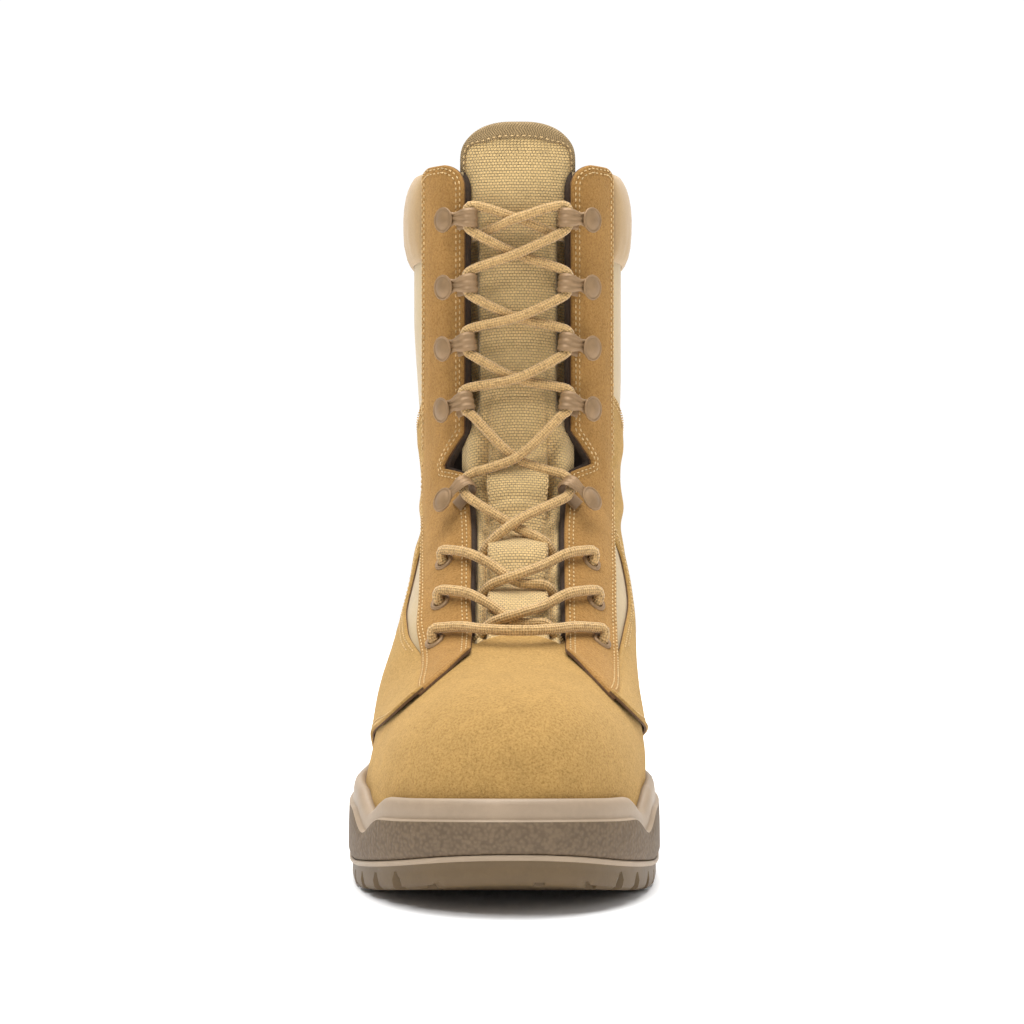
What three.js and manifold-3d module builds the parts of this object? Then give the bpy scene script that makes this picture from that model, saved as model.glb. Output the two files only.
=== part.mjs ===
// Right-foot combat boot in suede and woven nylon, about EU size 43, laced up and standing empty.
// Millimetres, +Z up. The boot is drawn with y running from the toe (0) back to the heel, and x from
// the little-toe side (minus) to the arch side (plus), with x = 0 on the centre of the shaft.
// At the end the whole boot is moved so that the origin is the middle of its footprint, on the floor.
import * as THREE from 'three';
import { mergeVertices } from 'three/addons/utils/BufferGeometryUtils.js';
import Module from 'manifold-3d';

const wasm = await Module();
wasm.setup();

// Sizes of the whole boot
const soleLength = 308;
const ballWidth = 112;
const ankleHeight = 138; // floor to the crease over the instep
const shaftHeight = 127; // crease to the tips of the lace stays
const shaftWidth = 84;

// Sole
const toeSpring = 12;
const archRise = 9; // height of the tread over the floor under the arch
const outsoleThickness = 10;
const midsoleThickness = 18; // under the heel
const insoleThickness = 4;
const randReach = 5; // how far the sole stands out past the upper
const randRise = 13; // how far the midsole's side wall rises past the platform
const toeRound = 92; // length over which the toe closes in plan
const heelRound = 40;
const bumperHeight = 7; // smooth lip along the top of the midsole's side
const bandStep = 1.2; // how far that lip steps in over the textured band
const lugPitch = 15;
const lugGroove = 3.4;
const lugDepth = 5;

// Upper
const wall = 2.2; // leather or nylon with its lining
const overlay = 1.6; // suede laid over it
const clearance = 0.3; // between pieces that meet
const throatHalf = 20.3; // centre line to the edge of a lace stay, on the shaft
const throatFoot = 17.4; // the same, over the instep
const stayHalf = 36.5; // centre line to the rear edge of a lace stay
const notchDepth = 8; // flex notch in the edge of the stay
const notchHeight = 15;
const notchLevel = 1.09;
const collarHeight = 34;
const collarBulge = 2.7;
const counterRadius = 92;
const backstayTurn = 0.08; // half width of the strip up the back, in turns

// Tongue
const tongueThickness = 5;
const tongueHalf = 25;
const tongueReach = 8; // depth of the cuts that trim the tongue, past its back
const tongueRise = 16.5; // over the tips of the lace stays
const bindingWidth = 6.5;

// Lacing
const laceDiameter = 4.2;
const laceTuck = 5; // how far inside the throat's edge a strand goes under
const laceSides = 8;
const eyeletHole = 2.4;
const eyeletFlange = 4.1;
const eyeletFlangeHeight = 1.2;
const hookWidth = 7;
const hookSheet = 0.8;
const hookBendAt = -7; // middle of the bend, from the seat towards the throat
const hookFoot = 2.5; // how far the foot reaches from the seat, away from the throat
const hookDiscAt = 1.6;
const hookDiscRadius = 4.7;
const hookDiscHeight = 1.4;
const hookSeat = 21.6; // centre line to the seat
const hookMouth = laceDiameter / 2 + 0.9;
const hookReach = hookWidth / 2 + 2.1; // how far the lace runs straight past the middle of a hook

const LATERAL = -1;
const MEDIAL = 1;

// Half widths of the sole, as shares of the ball width.
const SOLE_WIDTHS = [
  { along: 0.0, lateral: 0.545, medial: 0.455 },
  { along: 0.31, lateral: 0.545, medial: 0.455 },
  { along: 0.45, lateral: 0.515, medial: 0.412 },
  { along: 0.58, lateral: 0.445, medial: 0.37 },
  { along: 0.72, lateral: 0.4, medial: 0.36 },
  { along: 0.85, lateral: 0.375, medial: 0.365 },
  { along: 1.0, lateral: 0.365, medial: 0.36 },
];

// Side profile of the sole. spring and arch are shares of toeSpring and archRise and give the tread's
// height, outer is the outsole's top as a share of its thickness, foam the midsole's as a share of its
// own, and rand the side wall's rise over the platform as a share of randRise.
const SOLE_PROFILE = [
  { along: 0.0, spring: 1.0, arch: 0.0, outer: 1.0, foam: 0.46, rand: 0.82 },
  { along: 0.06, spring: 0.62, arch: 0.0, outer: 1.0, foam: 0.58, rand: 0.82 },
  { along: 0.1, spring: 0.42, arch: 0.0, outer: 1.0, foam: 0.63, rand: 0.84 },
  { along: 0.15, spring: 0.22, arch: 0.0, outer: 1.0, foam: 0.69, rand: 0.42 },
  { along: 0.21, spring: 0.04, arch: 0.0, outer: 1.0, foam: 0.74, rand: 0.98 },
  { along: 0.25, spring: 0.0, arch: 0.0, outer: 1.0, foam: 0.76, rand: 1.02 },
  { along: 0.4, spring: 0.0, arch: 0.0, outer: 1.0, foam: 0.78, rand: 0.96 },
  { along: 0.47, spring: 0.0, arch: 0.3, outer: 1.12, foam: 0.81, rand: 0.96 },
  { along: 0.56, spring: 0.0, arch: 0.85, outer: 1.38, foam: 0.87, rand: 1.0 },
  { along: 0.69, spring: 0.0, arch: 1.0, outer: 1.6, foam: 0.96, rand: 1.05 },
  { along: 0.7, spring: 0.0, arch: 0.0, outer: 1.62, foam: 0.97, rand: 1.05 },
  { along: 0.93, spring: 0.0, arch: 0.0, outer: 1.6, foam: 1.0, rand: 1.1 },
  { along: 1.0, spring: 0.22, arch: 0.0, outer: 1.4, foam: 1.0, rand: 1.25 },
];

// The upper is drawn through sections that fan round the instep: upright across the toes, sloping
// through the heel and level round the shaft. Each runs in side view from a front point to a back
// point. along is a share of the sole's length. up is a level: 1 is the ankle height and 2 the tips
// of the stays. lateral and medial are half widths, of the sole's inset outline up to the ankle and
// of the shaft above it, where heel is the share of them left at the back. crown and base are the shares of the section over which it rounds off at its
// front and back ends, crown for each side.
const FOOT_SECTIONS = [
  { frontAlong: 0.023, frontUp: 0.31, backAlong: 0.023, backUp: 0.13, lateral: 1.0, medial: 1.0, crownLateral: 0.6, crownMedial: 0.6, base: 0.2 },
  { frontAlong: 0.032, frontUp: 0.395, backAlong: 0.029, backUp: 0.12, lateral: 1.0, medial: 1.0, crownLateral: 0.74, crownMedial: 0.7, base: 0.16 },
  { frontAlong: 0.054, frontUp: 0.463, backAlong: 0.05, backUp: 0.11, lateral: 1.0, medial: 1.0, crownLateral: 0.78, crownMedial: 0.7, base: 0.15 },
  { frontAlong: 0.088, frontUp: 0.512, backAlong: 0.085, backUp: 0.1, lateral: 1.0, medial: 1.0, crownLateral: 0.78, crownMedial: 0.68, base: 0.14 },
  { frontAlong: 0.14, frontUp: 0.545, backAlong: 0.14, backUp: 0.09, lateral: 1.0, medial: 1.0, crownLateral: 0.76, crownMedial: 0.64, base: 0.14 },
  { frontAlong: 0.205, frontUp: 0.565, backAlong: 0.21, backUp: 0.08, lateral: 1.0, medial: 1.0, crownLateral: 0.79, crownMedial: 0.6, base: 0.15 },
  { frontAlong: 0.273, frontUp: 0.59, backAlong: 0.29, backUp: 0.07, lateral: 1.0, medial: 1.01, crownLateral: 0.8, crownMedial: 0.56, base: 0.16 },
  { frontAlong: 0.338, frontUp: 0.632, backAlong: 0.385, backUp: 0.07, lateral: 1.0, medial: 1.04, crownLateral: 0.74, crownMedial: 0.52, base: 0.22 },
  { frontAlong: 0.39, frontUp: 0.706, backAlong: 0.49, backUp: 0.08, lateral: 1.04, medial: 1.12, crownLateral: 0.62, crownMedial: 0.48, base: 0.3 },
  { frontAlong: 0.435, frontUp: 0.792, backAlong: 0.6, backUp: 0.09, lateral: 1.09, medial: 1.22, crownLateral: 0.52, crownMedial: 0.44, base: 0.36 },
  { frontAlong: 0.477, frontUp: 0.872, backAlong: 0.72, backUp: 0.09, lateral: 1.1, medial: 1.26, crownLateral: 0.42, crownMedial: 0.38, base: 0.38 },
  { frontAlong: 0.51, frontUp: 0.94, backAlong: 0.845, backUp: 0.1, lateral: 1.11, medial: 1.23, crownLateral: 0.35, crownMedial: 0.33, base: 0.36 },
  { frontAlong: 0.535, frontUp: 1.015, backAlong: 0.965, backUp: 0.15, lateral: 1.09, medial: 1.16, crownLateral: 0.31, crownMedial: 0.3, base: 0.33 },
];
const SHAFT_SECTIONS = [
  { frontAlong: 0.55, frontUp: 1.11, backAlong: 0.981, backUp: 0.36, lateral: 0.9, medial: 0.965, heel: 0.94, crownLateral: 0.33, crownMedial: 0.32, base: 0.34 },
  { frontAlong: 0.559, frontUp: 1.23, backAlong: 0.977, backUp: 0.62, lateral: 0.89, medial: 0.96, heel: 0.96, crownLateral: 0.38, crownMedial: 0.37, base: 0.38 },
  { frontAlong: 0.565, frontUp: 1.36, backAlong: 0.963, backUp: 0.88, lateral: 0.93, medial: 0.98, heel: 0.98, crownLateral: 0.42, crownMedial: 0.42, base: 0.42 },
  { frontAlong: 0.569, frontUp: 1.5, backAlong: 0.949, backUp: 1.14, lateral: 0.97, medial: 1.0, heel: 1, crownLateral: 0.45, crownMedial: 0.45, base: 0.45 },
  { frontAlong: 0.572, frontUp: 1.64, backAlong: 0.942, backUp: 1.4, lateral: 1.0, medial: 1.0, heel: 1, crownLateral: 0.46, crownMedial: 0.46, base: 0.47 },
  { frontAlong: 0.575, frontUp: 1.77, backAlong: 0.94, backUp: 1.62, lateral: 1.0, medial: 1.0, heel: 1, crownLateral: 0.47, crownMedial: 0.47, base: 0.48 },
  { frontAlong: 0.578, frontUp: 1.9, backAlong: 0.942, backUp: 1.81, lateral: 1.0, medial: 1.0, heel: 1, crownLateral: 0.47, crownMedial: 0.47, base: 0.48 },
  { frontAlong: 0.581, frontUp: 2.04, backAlong: 0.945, backUp: 2.0, lateral: 1.0, medial: 1.0, heel: 1, crownLateral: 0.47, crownMedial: 0.47, base: 0.48 },
  { frontAlong: 0.585, frontUp: 2.21, backAlong: 0.95, backUp: 2.21, lateral: 1.0, medial: 1.0, heel: 1, crownLateral: 0.47, crownMedial: 0.47, base: 0.48 },
];
const THROAT_STATION = 7; // section at the foot of the throat, where the quarters meet the vamp
const LAST_STATION = FOOT_SECTIONS.length + SHAFT_SECTIONS.length - 1;

// Lace rows from the vamp up. across is the eyelet's distance from the centre line, as a share of
// stayHalf, and tilt turns a hook's open end down, in degrees.
const EYELET_ROWS = [
  { up: 0.598, across: 0.81 },
  { up: 0.693, across: 0.765 },
  { up: 0.796, across: 0.73 },
];
const HOOK_ROWS = [
  { up: 0.946, tilt: 32 },
  { up: 1.244, tilt: 0 },
  { up: 1.433, tilt: 0 },
  { up: 1.618, tilt: 0 },
  { up: 1.823, tilt: 0 },
];

// Smooth curve through one column of a table, with no overshoot between its rows.
function curveThrough(rows, key, column) {
  const x = rows.map((row) => row[key]);
  const y = rows.map((row) => row[column]);
  const steps = x.slice(1).map((value, i) => value - x[i]);
  const slopes = steps.map((step, i) => (y[i + 1] - y[i]) / step);
  const tangents = y.map((_, i) => {
    if (i === 0) return slopes[0];
    if (i === y.length - 1) return slopes[i - 1];
    if (slopes[i - 1] * slopes[i] <= 0) return 0;
    const before = 2 * steps[i] + steps[i - 1];
    const after = steps[i] + 2 * steps[i - 1];
    return (before + after) / (before / slopes[i - 1] + after / slopes[i]);
  });
  return (at) => {
    const clamped = Math.min(Math.max(at, x[0]), x[x.length - 1]);
    let i = steps.length - 1;
    while (i > 0 && clamped < x[i]) i -= 1;
    const t = (clamped - x[i]) / steps[i];
    const rise = y[i] * (1 + 2 * t) * (1 - t) ** 2 + y[i + 1] * t * t * (3 - 2 * t);
    return rise + steps[i] * (tangents[i] * t * (1 - t) ** 2 - tangents[i + 1] * t * t * (1 - t));
  };
}

function columnCurves(rows, key) {
  const columns = Object.keys(rows[0]).filter((column) => column !== key);
  return Object.fromEntries(columns.map((column) => [column, curveThrough(rows, key, column)]));
}

// Share of the full width at a distance into a rounded end, from 0 at its tip to 1 at full width.
const ROUNDNESS = 2.2;
function roundedEnd(share) {
  if (share >= 1) return 1;
  if (share <= 0) return 0;
  return (1 - (1 - share) ** ROUNDNESS) ** (1 / ROUNDNESS);
}

// Height over the floor of a level: 1 is the ankle and 2 the tips of the stays.
function height(level) {
  return level <= 1 ? ankleHeight * level : ankleHeight + (level - 1) * shaftHeight;
}

const soleWidths = columnCurves(SOLE_WIDTHS, 'along');
const soleProfile = columnCurves(SOLE_PROFILE, 'along');

// Half width of the sole at y, drawn in by inset all round.
function soleHalf(side, y, inset = 0) {
  const share = (side === LATERAL ? soleWidths.lateral : soleWidths.medial)(y / soleLength);
  const toe = roundedEnd((y - inset) / toeRound);
  const heel = roundedEnd((soleLength - inset - y) / heelRound);
  return Math.max((share * ballWidth - inset) * toe * heel, 0);
}

function treadHeight(y) {
  const at = y / soleLength;
  return toeSpring * soleProfile.spring(at) + archRise * soleProfile.arch(at);
}

function outsoleTop(y) {
  const at = y / soleLength;
  return toeSpring * soleProfile.spring(at) + outsoleThickness * soleProfile.outer(at);
}

function platform(y) {
  return outsoleTop(y) + midsoleThickness * soleProfile.foam(y / soleLength);
}

function randTop(y) {
  return platform(y) + randRise * soleProfile.rand(y / soleLength);
}

// The sections in millimetres, in one list.
function sectionRow(row, station, onShaft) {
  const front = { y: row.frontAlong * soleLength, z: height(row.frontUp) };
  const back = { y: row.backAlong * soleLength, z: height(row.backUp) };
  const feather = THREE.MathUtils.clamp((front.z - platform(back.y)) / (front.z - back.z), 0, 1);
  const featherY = front.y + feather * (back.y - front.y);
  const openHeel = soleLength - randReach - heelRound;
  const half = (side) => (onShaft ? shaftWidth / 2 : soleHalf(side, Math.min(featherY, openHeel), randReach));
  return {
    station,
    frontY: front.y,
    frontZ: front.z,
    backY: back.y,
    backZ: back.z,
    lateral: row.lateral * half(LATERAL),
    medial: row.medial * half(MEDIAL),
    footLateral: (onShaft ? row.heel * row.lateral : 1) * half(LATERAL),
    footMedial: (onShaft ? row.heel * row.medial : 1) * half(MEDIAL),
    crownLateral: row.crownLateral,
    crownMedial: row.crownMedial,
    base: row.base,
  };
}

const SECTIONS = [
  ...FOOT_SECTIONS.map((row, i) => sectionRow(row, i, false)),
  ...SHAFT_SECTIONS.map((row, i) => sectionRow(row, FOOT_SECTIONS.length + i, true)),
];
const section = columnCurves(SECTIONS, 'station');

// Point on the upper's outer surface. turn goes round a section: 0 is the front, 0.5 the arch side,
// 1 the back and 1.5 the little-toe side.
function skin(station, turn) {
  const wrapped = ((turn % 2) + 2) % 2;
  const side = wrapped <= 1 ? MEDIAL : LATERAL;
  const sweep = side === MEDIAL ? wrapped : 2 - wrapped;
  const front = new THREE.Vector3(0, section.frontY(station), section.frontZ(station));
  const back = new THREE.Vector3(0, section.backY(station), section.backZ(station));
  const share = (1 - Math.cos(Math.PI * sweep)) / 2;
  const top = (side === MEDIAL ? section.medial : section.lateral)(station);
  const foot = (side === MEDIAL ? section.footMedial : section.footLateral)(station);
  const half = top + (foot - top) * THREE.MathUtils.smoothstep(share, 0.3, 0.92);
  const crown = (side === MEDIAL ? section.crownMedial : section.crownLateral)(station);
  const width = half * roundedEnd(share / crown) * roundedEnd((1 - share) / section.base(station));
  const point = front.lerp(back, share);
  point.x = side * width;
  return point;
}

// The same point moved outwards by offset, square to the surface.
function skinOut(station, turn, offset) {
  const reach = 0.02;
  const low = Math.max(station - reach, 0);
  const high = Math.min(station + reach, LAST_STATION);
  const along = skin(high, turn).sub(skin(low, turn));
  const around = skin(station, turn + reach).sub(skin(station, turn - reach));
  const normal = around.cross(along).normalize();
  return skin(station, turn).addScaledVector(normal, offset);
}

function bisect(low, high, isPast) {
  let a = low;
  let b = high;
  for (let i = 0; i < 30; i += 1) {
    const middle = (a + b) / 2;
    if (isPast(middle)) b = middle;
    else a = middle;
  }
  return (a + b) / 2;
}

// Turn on the front half of a section at which the surface is across from the centre line.
function turnAcross(station, side, across) {
  const sweep = bisect(0, 0.5, (turn) => Math.abs(skin(station, side * turn).x) > across);
  return side * sweep;
}

// Station at which the surface reaches a height, for a turn given by turnAt(station).
function stationAt(level, turnAt) {
  const target = height(level);
  return bisect(THROAT_STATION - 1, LAST_STATION, (station) => skin(station, turnAt(station)).z > target);
}

// Solids: closed bodies from rings of points, from grids, and from three.js geometries.
function solidFrom(points, triangles) {
  const positions = new Float32Array(points.flatMap((point) => [point.x, point.y, point.z]));
  let volume = 0;
  const corner = new THREE.Vector3();
  for (const [a, b, c] of triangles) volume += points[a].dot(corner.copy(points[b]).cross(points[c]));
  const faces = volume > 0 ? triangles : triangles.map(([a, b, c]) => [a, c, b]);
  const mesh = new wasm.Mesh({ numProp: 3, vertProperties: positions, triVerts: new Uint32Array(faces.flat()) });
  return new wasm.Manifold(mesh);
}

function solidFromGeometry(geometry) {
  const plain = geometry.clone();
  plain.deleteAttribute('normal');
  plain.deleteAttribute('uv');
  const merged = mergeVertices(plain, 1e-4);
  const mesh = new wasm.Mesh({
    numProp: 3,
    vertProperties: new Float32Array(merged.attributes.position.array),
    triVerts: new Uint32Array(merged.index.array),
  });
  return new wasm.Manifold(mesh);
}

function geometryFrom(solid) {
  const mesh = solid.getMesh();
  const geometry = new THREE.BufferGeometry();
  geometry.setAttribute('position', new THREE.BufferAttribute(mesh.vertProperties, 3));
  geometry.setIndex(new THREE.BufferAttribute(mesh.triVerts, 1));
  geometry.computeVertexNormals();
  return geometry;
}

// Body through closed rings of equally many points. Its ends are flat, or where the rings run up one
// side and down the other, closed straight across.
function ringSolid(rings, closedAcross = false) {
  const count = rings[0].length;
  const points = rings.flat();
  const triangles = [];
  for (let row = 0; row + 1 < rings.length; row += 1) {
    for (let i = 0; i < count; i += 1) {
      const a = row * count + i;
      const b = row * count + ((i + 1) % count);
      triangles.push([a, b, a + count], [b, b + count, a + count]);
    }
  }
  for (const [row, outward] of [[0, false], [rings.length - 1, true]]) {
    if (closedAcross) {
      const first = row * count;
      for (let i = 0; i + 1 < count / 2; i += 1) {
        const [a, b, c, d] = [first + i, first + i + 1, first + count - 2 - i, first + count - 1 - i];
        triangles.push(...(outward ? [[a, b, c], [a, c, d]] : [[a, c, b], [a, d, c]]));
      }
      continue;
    }
    const centre = points.length;
    const middle = new THREE.Vector3();
    for (const point of rings[row]) middle.addScaledVector(point, 1 / count);
    points.push(middle);
    for (let i = 0; i < count; i += 1) {
      const a = row * count + i;
      const b = row * count + ((i + 1) % count);
      triangles.push(outward ? [a, b, centre] : [b, a, centre]);
    }
  }
  return solidFrom(points, triangles);
}

// Curved plate between an outer and an inner grid of points.
function plateSolid(outer, inner) {
  const rows = outer.length;
  const columns = outer[0].length;
  const points = [...outer.flat(), ...inner.flat()];
  const under = rows * columns;
  const at = (row, column) => row * columns + column;
  const triangles = [];
  for (let row = 0; row + 1 < rows; row += 1) {
    for (let column = 0; column + 1 < columns; column += 1) {
      const [a, b, c, d] = [at(row, column), at(row, column + 1), at(row + 1, column + 1), at(row + 1, column)];
      triangles.push([a, b, c], [a, c, d], [under + a, under + c, under + b], [under + a, under + d, under + c]);
    }
  }
  const rim = [];
  for (let column = 0; column < columns; column += 1) rim.push(at(0, column));
  for (let row = 1; row < rows; row += 1) rim.push(at(row, columns - 1));
  for (let column = columns - 2; column >= 0; column -= 1) rim.push(at(rows - 1, column));
  for (let row = rows - 2; row > 0; row -= 1) rim.push(at(row, 0));
  rim.forEach((a, i) => {
    const b = rim[(i + 1) % rim.length];
    triangles.push([b, a, under + a], [b, under + a, under + b]);
  });
  return solidFrom(points, triangles);
}

// Plate that follows the upper: turns(station) gives its first and last turn, and shares spaces its
// columns between them. outer and inner are offsets from the skin.
function skinPlate(stations, columns, turns, outer, inner) {
  const layer = (offset) => stations.map((station) => {
    const [first, last] = turns(station);
    return Array.from({ length: columns + 1 }, (_, column) => {
      const share = column / columns;
      const depth = typeof offset === 'function' ? offset(station, share) : offset;
      return skinOut(station, first + (last - first) * share, depth);
    });
  });
  return plateSolid(layer(outer), layer(inner));
}

function stationsBetween(first, last, extra = []) {
  const whole = [];
  for (let station = Math.ceil(first + 0.05); station < last - 0.05; station += 1) whole.push(station);
  return [...new Set([first, ...whole, ...extra, last])].sort((a, b) => a - b);
}

// The whole upper as one filled body, drawn out by offset: the last's form.
const RING_POINTS = 26;
function lastForm(offset) {
  const rings = [];
  for (let station = 0; station <= LAST_STATION; station += 1) {
    rings.push(Array.from({ length: RING_POINTS }, (_, i) => skinOut(station, (2 * i) / RING_POINTS, offset)));
  }
  return ringSolid(rings);
}

const BEYOND = 400; // past every piece

// Body across the boot between two heights that follow the sole.
function layerSolid(lowAt, highAt) {
  const rings = SOLE_STATIONS.map((y) => [
    new THREE.Vector3(-BEYOND, y, lowAt(y)),
    new THREE.Vector3(BEYOND, y, lowAt(y)),
    new THREE.Vector3(BEYOND, y, highAt(y)),
    new THREE.Vector3(-BEYOND, y, highAt(y)),
  ]);
  return ringSolid(rings);
}

const SOLE_SHARES = [
  0.0003, 0.004, 0.013, 0.03, 0.055, 0.09, 0.12, 0.15, 0.18, 0.21, 0.27, 0.35,
  0.43, 0.5, 0.58, 0.65, 0.69, 0.705, 0.78, 0.86, 0.92, 0.96, 0.985, 0.996, 0.9997,
];
const SOLE_STATIONS = SOLE_SHARES.map((share) => share * soleLength);

// Body of the sole's outline with a side given as steps: each has how far it is drawn in, and its
// height at y.
function soleSolid(steps) {
  const rings = SOLE_SHARES.map((share) => {
    const edge = (side, { inset, z }) => {
      const y = inset + share * (soleLength - 2 * inset);
      return new THREE.Vector3(side * soleHalf(side, y, inset), y, z(y));
    };
    const up = steps.map((step) => edge(LATERAL, step));
    const down = [...steps].reverse().map((step) => edge(MEDIAL, step));
    return [...up, ...down];
  });
  return ringSolid(rings, true);
}

// Bar across the tread with a tapered section, following the tread's slope.
function grooveSolid(y, width, depth) {
  const bottom = treadHeight(y);
  const corners = [[-0.75, -6], [0.75, -6], [0.5, 0], [0.22, depth], [-0.22, depth], [-0.5, 0]];
  const ring = (x) => corners.map(([share, rise]) => new THREE.Vector3(x, y + share * width, bottom + rise));
  return ringSolid([ring(-BEYOND), ring(BEYOND)]);
}

function boxSolid(low, high) {
  const size = new THREE.Vector3().subVectors(high, low);
  const geometry = new THREE.BoxGeometry(size.x, size.y, size.z);
  const middle = new THREE.Vector3().addVectors(low, high).multiplyScalar(0.5);
  geometry.translate(middle.x, middle.y, middle.z);
  return solidFromGeometry(geometry);
}

function makeOutsole() {
  const wallInset = 1.0;
  const footInset = 2.8;
  const lip = 1.4;
  let sole = soleSolid([
    { inset: footInset, z: treadHeight },
    { inset: wallInset + 0.4, z: (y) => treadHeight(y) + 1.6 },
    { inset: wallInset, z: (y) => outsoleTop(y) - lip - 0.6 },
    { inset: 0, z: (y) => outsoleTop(y) - lip },
    { inset: 0, z: outsoleTop },
  ]);
  const forefootEnd = 0.43 * soleLength;
  for (let y = 2 * lugPitch; y < forefootEnd; y += lugPitch) sole = sole.subtract(grooveSolid(y, lugGroove, lugDepth));
  const heelFront = 0.7 * soleLength;
  for (let y = heelFront + lugPitch; y < soleLength - 1.5 * lugPitch; y += lugPitch) {
    sole = sole.subtract(grooveSolid(y, lugGroove, lugDepth));
  }
  // Two lengthwise grooves split each bar of tread into lugs.
  const split = 0.15 * ballWidth;
  const stretches = [[2 * lugPitch, forefootEnd], [heelFront + lugPitch, soleLength - 1.5 * lugPitch]];
  for (const side of [LATERAL, MEDIAL]) {
    for (const [from, to] of stretches) {
      const low = new THREE.Vector3(side * split - lugGroove / 2, from, -1);
      const high = new THREE.Vector3(side * split + lugGroove / 2, to, 0.7 * lugDepth);
      sole = sole.subtract(boxSolid(low, high));
    }
  }
  return sole;
}

function makeMidsole() {
  const body = soleSolid([
    { inset: 0.6, z: (y) => outsoleTop(y) + clearance },
    { inset: -0.4, z: (y) => outsoleTop(y) + 3 },
    { inset: 0, z: (y) => randTop(y) - bumperHeight - 0.6 },
    { inset: bandStep, z: (y) => randTop(y) - bumperHeight + 0.6 },
    { inset: bandStep + 0.6, z: (y) => randTop(y) - 1.5 },
    { inset: bandStep + 1.6, z: randTop },
  ]);
  const cup = lastForm(clearance).intersect(layerSolid(platform, () => BEYOND));
  return body.subtract(cup);
}

function makeInsole() {
  const low = (y) => platform(y) + clearance;
  const high = (y) => platform(y) + clearance + insoleThickness;
  return lastForm(-wall - clearance).intersect(layerSolid(low, high));
}

// Height of a section where it passes the edge of the throat.
function edgeHeight(station) {
  return skin(station, turnAcross(station, MEDIAL, throatHalf)).z;
}

// Distance from the centre line to the edge of the throat, with the flex notch over the ankle.
function throatEdge(station) {
  const level = edgeHeight(station);
  const share = THREE.MathUtils.smoothstep(level, height(0.85), height(1.15));
  const edge = throatFoot + (throatHalf - throatFoot) * share;
  const off = Math.abs(level - height(notchLevel)) / (notchHeight / 2);
  return edge + notchDepth * Math.max(0, 1 - off);
}

// Extra sections where the throat's edge turns a corner.
function notchStations() {
  const middle = height(notchLevel);
  const levels = [middle - notchHeight / 2, middle, middle + notchHeight / 2];
  return levels.map((z) => bisect(THROAT_STATION, LAST_STATION, (station) => edgeHeight(station) > z));
}

const STAY_TOP = bisect(THROAT_STATION, LAST_STATION, (station) => skin(station, 0).z > height(2) + 1);

function throatSolid(widen) {
  const stations = stationsBetween(THROAT_STATION, LAST_STATION, notchStations());
  const turns = (station) => {
    const edge = throatEdge(station) + widen;
    return [turnAcross(station, LATERAL, edge), turnAcross(station, MEDIAL, edge)];
  };
  return skinPlate(stations, 6, turns, 12, -12);
}

// The collar's top line in side view: level with the stays in front and a little lower at the back.
function topLine(y) {
  const back = THREE.MathUtils.smoothstep(y, 0.6 * soleLength, 0.93 * soleLength);
  return height(2) - 3 - 5 * back;
}

function aboveTop(rise) {
  const shares = [0.4, 0.6, 0.66, 0.74, 0.83, 0.93, 1.1];
  const rings = shares.map((share) => {
    const y = share * soleLength;
    const z = topLine(y) + rise;
    return [
      new THREE.Vector3(-BEYOND, y, z),
      new THREE.Vector3(BEYOND, y, z),
      new THREE.Vector3(BEYOND, y, z + BEYOND),
      new THREE.Vector3(-BEYOND, y, z + BEYOND),
    ];
  });
  return ringSolid(rings);
}

// The frame of a fitting on a lace stay: its seat, the direction out of the leather, the direction
// away from the throat and the third one.
function seatFrame(side, level, across, offset, tilt = 0) {
  const station = stationAt(level, (at) => turnAcross(at, side, across));
  const turn = turnAcross(station, side, across);
  const seat = skinOut(station, turn, offset);
  const normal = skinOut(station, turn, offset + 1).sub(seat).normalize();
  const away = skinOut(station, turn + side * 0.02, offset).sub(seat);
  away.addScaledVector(normal, -away.dot(normal)).normalize();
  away.applyAxisAngle(normal, -side * THREE.MathUtils.degToRad(tilt));
  const third = new THREE.Vector3().crossVectors(away, normal);
  return { seat, normal, away, third };
}

function placed(geometry, frame) {
  const basis = new THREE.Matrix4().makeBasis(frame.away, frame.normal, frame.third);
  basis.setPosition(frame.seat);
  return geometry.clone().applyMatrix4(basis);
}

const stayTop = clearance + overlay;

// Suede layer over the whole upper, at the clearance from it. The overlays are cut out of it.
function cutFromLayer(cutter, thickness = overlay) {
  return lastForm(clearance + thickness).subtract(lastForm(clearance)).intersect(cutter);
}
const CUT_OUT = 9; // how far the cutters reach out of the skin
const CUT_IN = -5; // and under it

function eyeletFrames() {
  return EYELET_ROWS.flatMap((row, i) => [LATERAL, MEDIAL].map((side) => ({
    name: `eyelet_${side === LATERAL ? 'lateral' : 'medial'}_${i + 1}`,
    frame: seatFrame(side, row.up, row.across * stayHalf, stayTop + 0.25),
  })));
}

function drillEyelets(solid) {
  let drilled = solid;
  for (const { frame } of eyeletFrames()) {
    const drill = new THREE.CylinderGeometry(eyeletHole + 0.9, eyeletHole + 0.9, 14, 8);
    drilled = drilled.subtract(solidFromGeometry(placed(drill, frame)));
  }
  return drilled;
}

function makeUpper() {
  const sole = layerSolid(() => -BEYOND, (y) => platform(y) + clearance);
  const shell = lastForm(0).subtract(lastForm(-wall)).subtract(sole);
  return drillEyelets(shell.subtract(aboveTop(0)).subtract(throatSolid(0.6)));
}

// The rounded tip of a lace stay: how far its front and rear edges draw in near the top.
function tipShare(station) {
  const below = height(2) + 1 - skin(station, 0).z;
  return roundedEnd(below / 12);
}

function belowRand() {
  return layerSolid(() => -BEYOND, (y) => randTop(y) + clearance);
}

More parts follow.
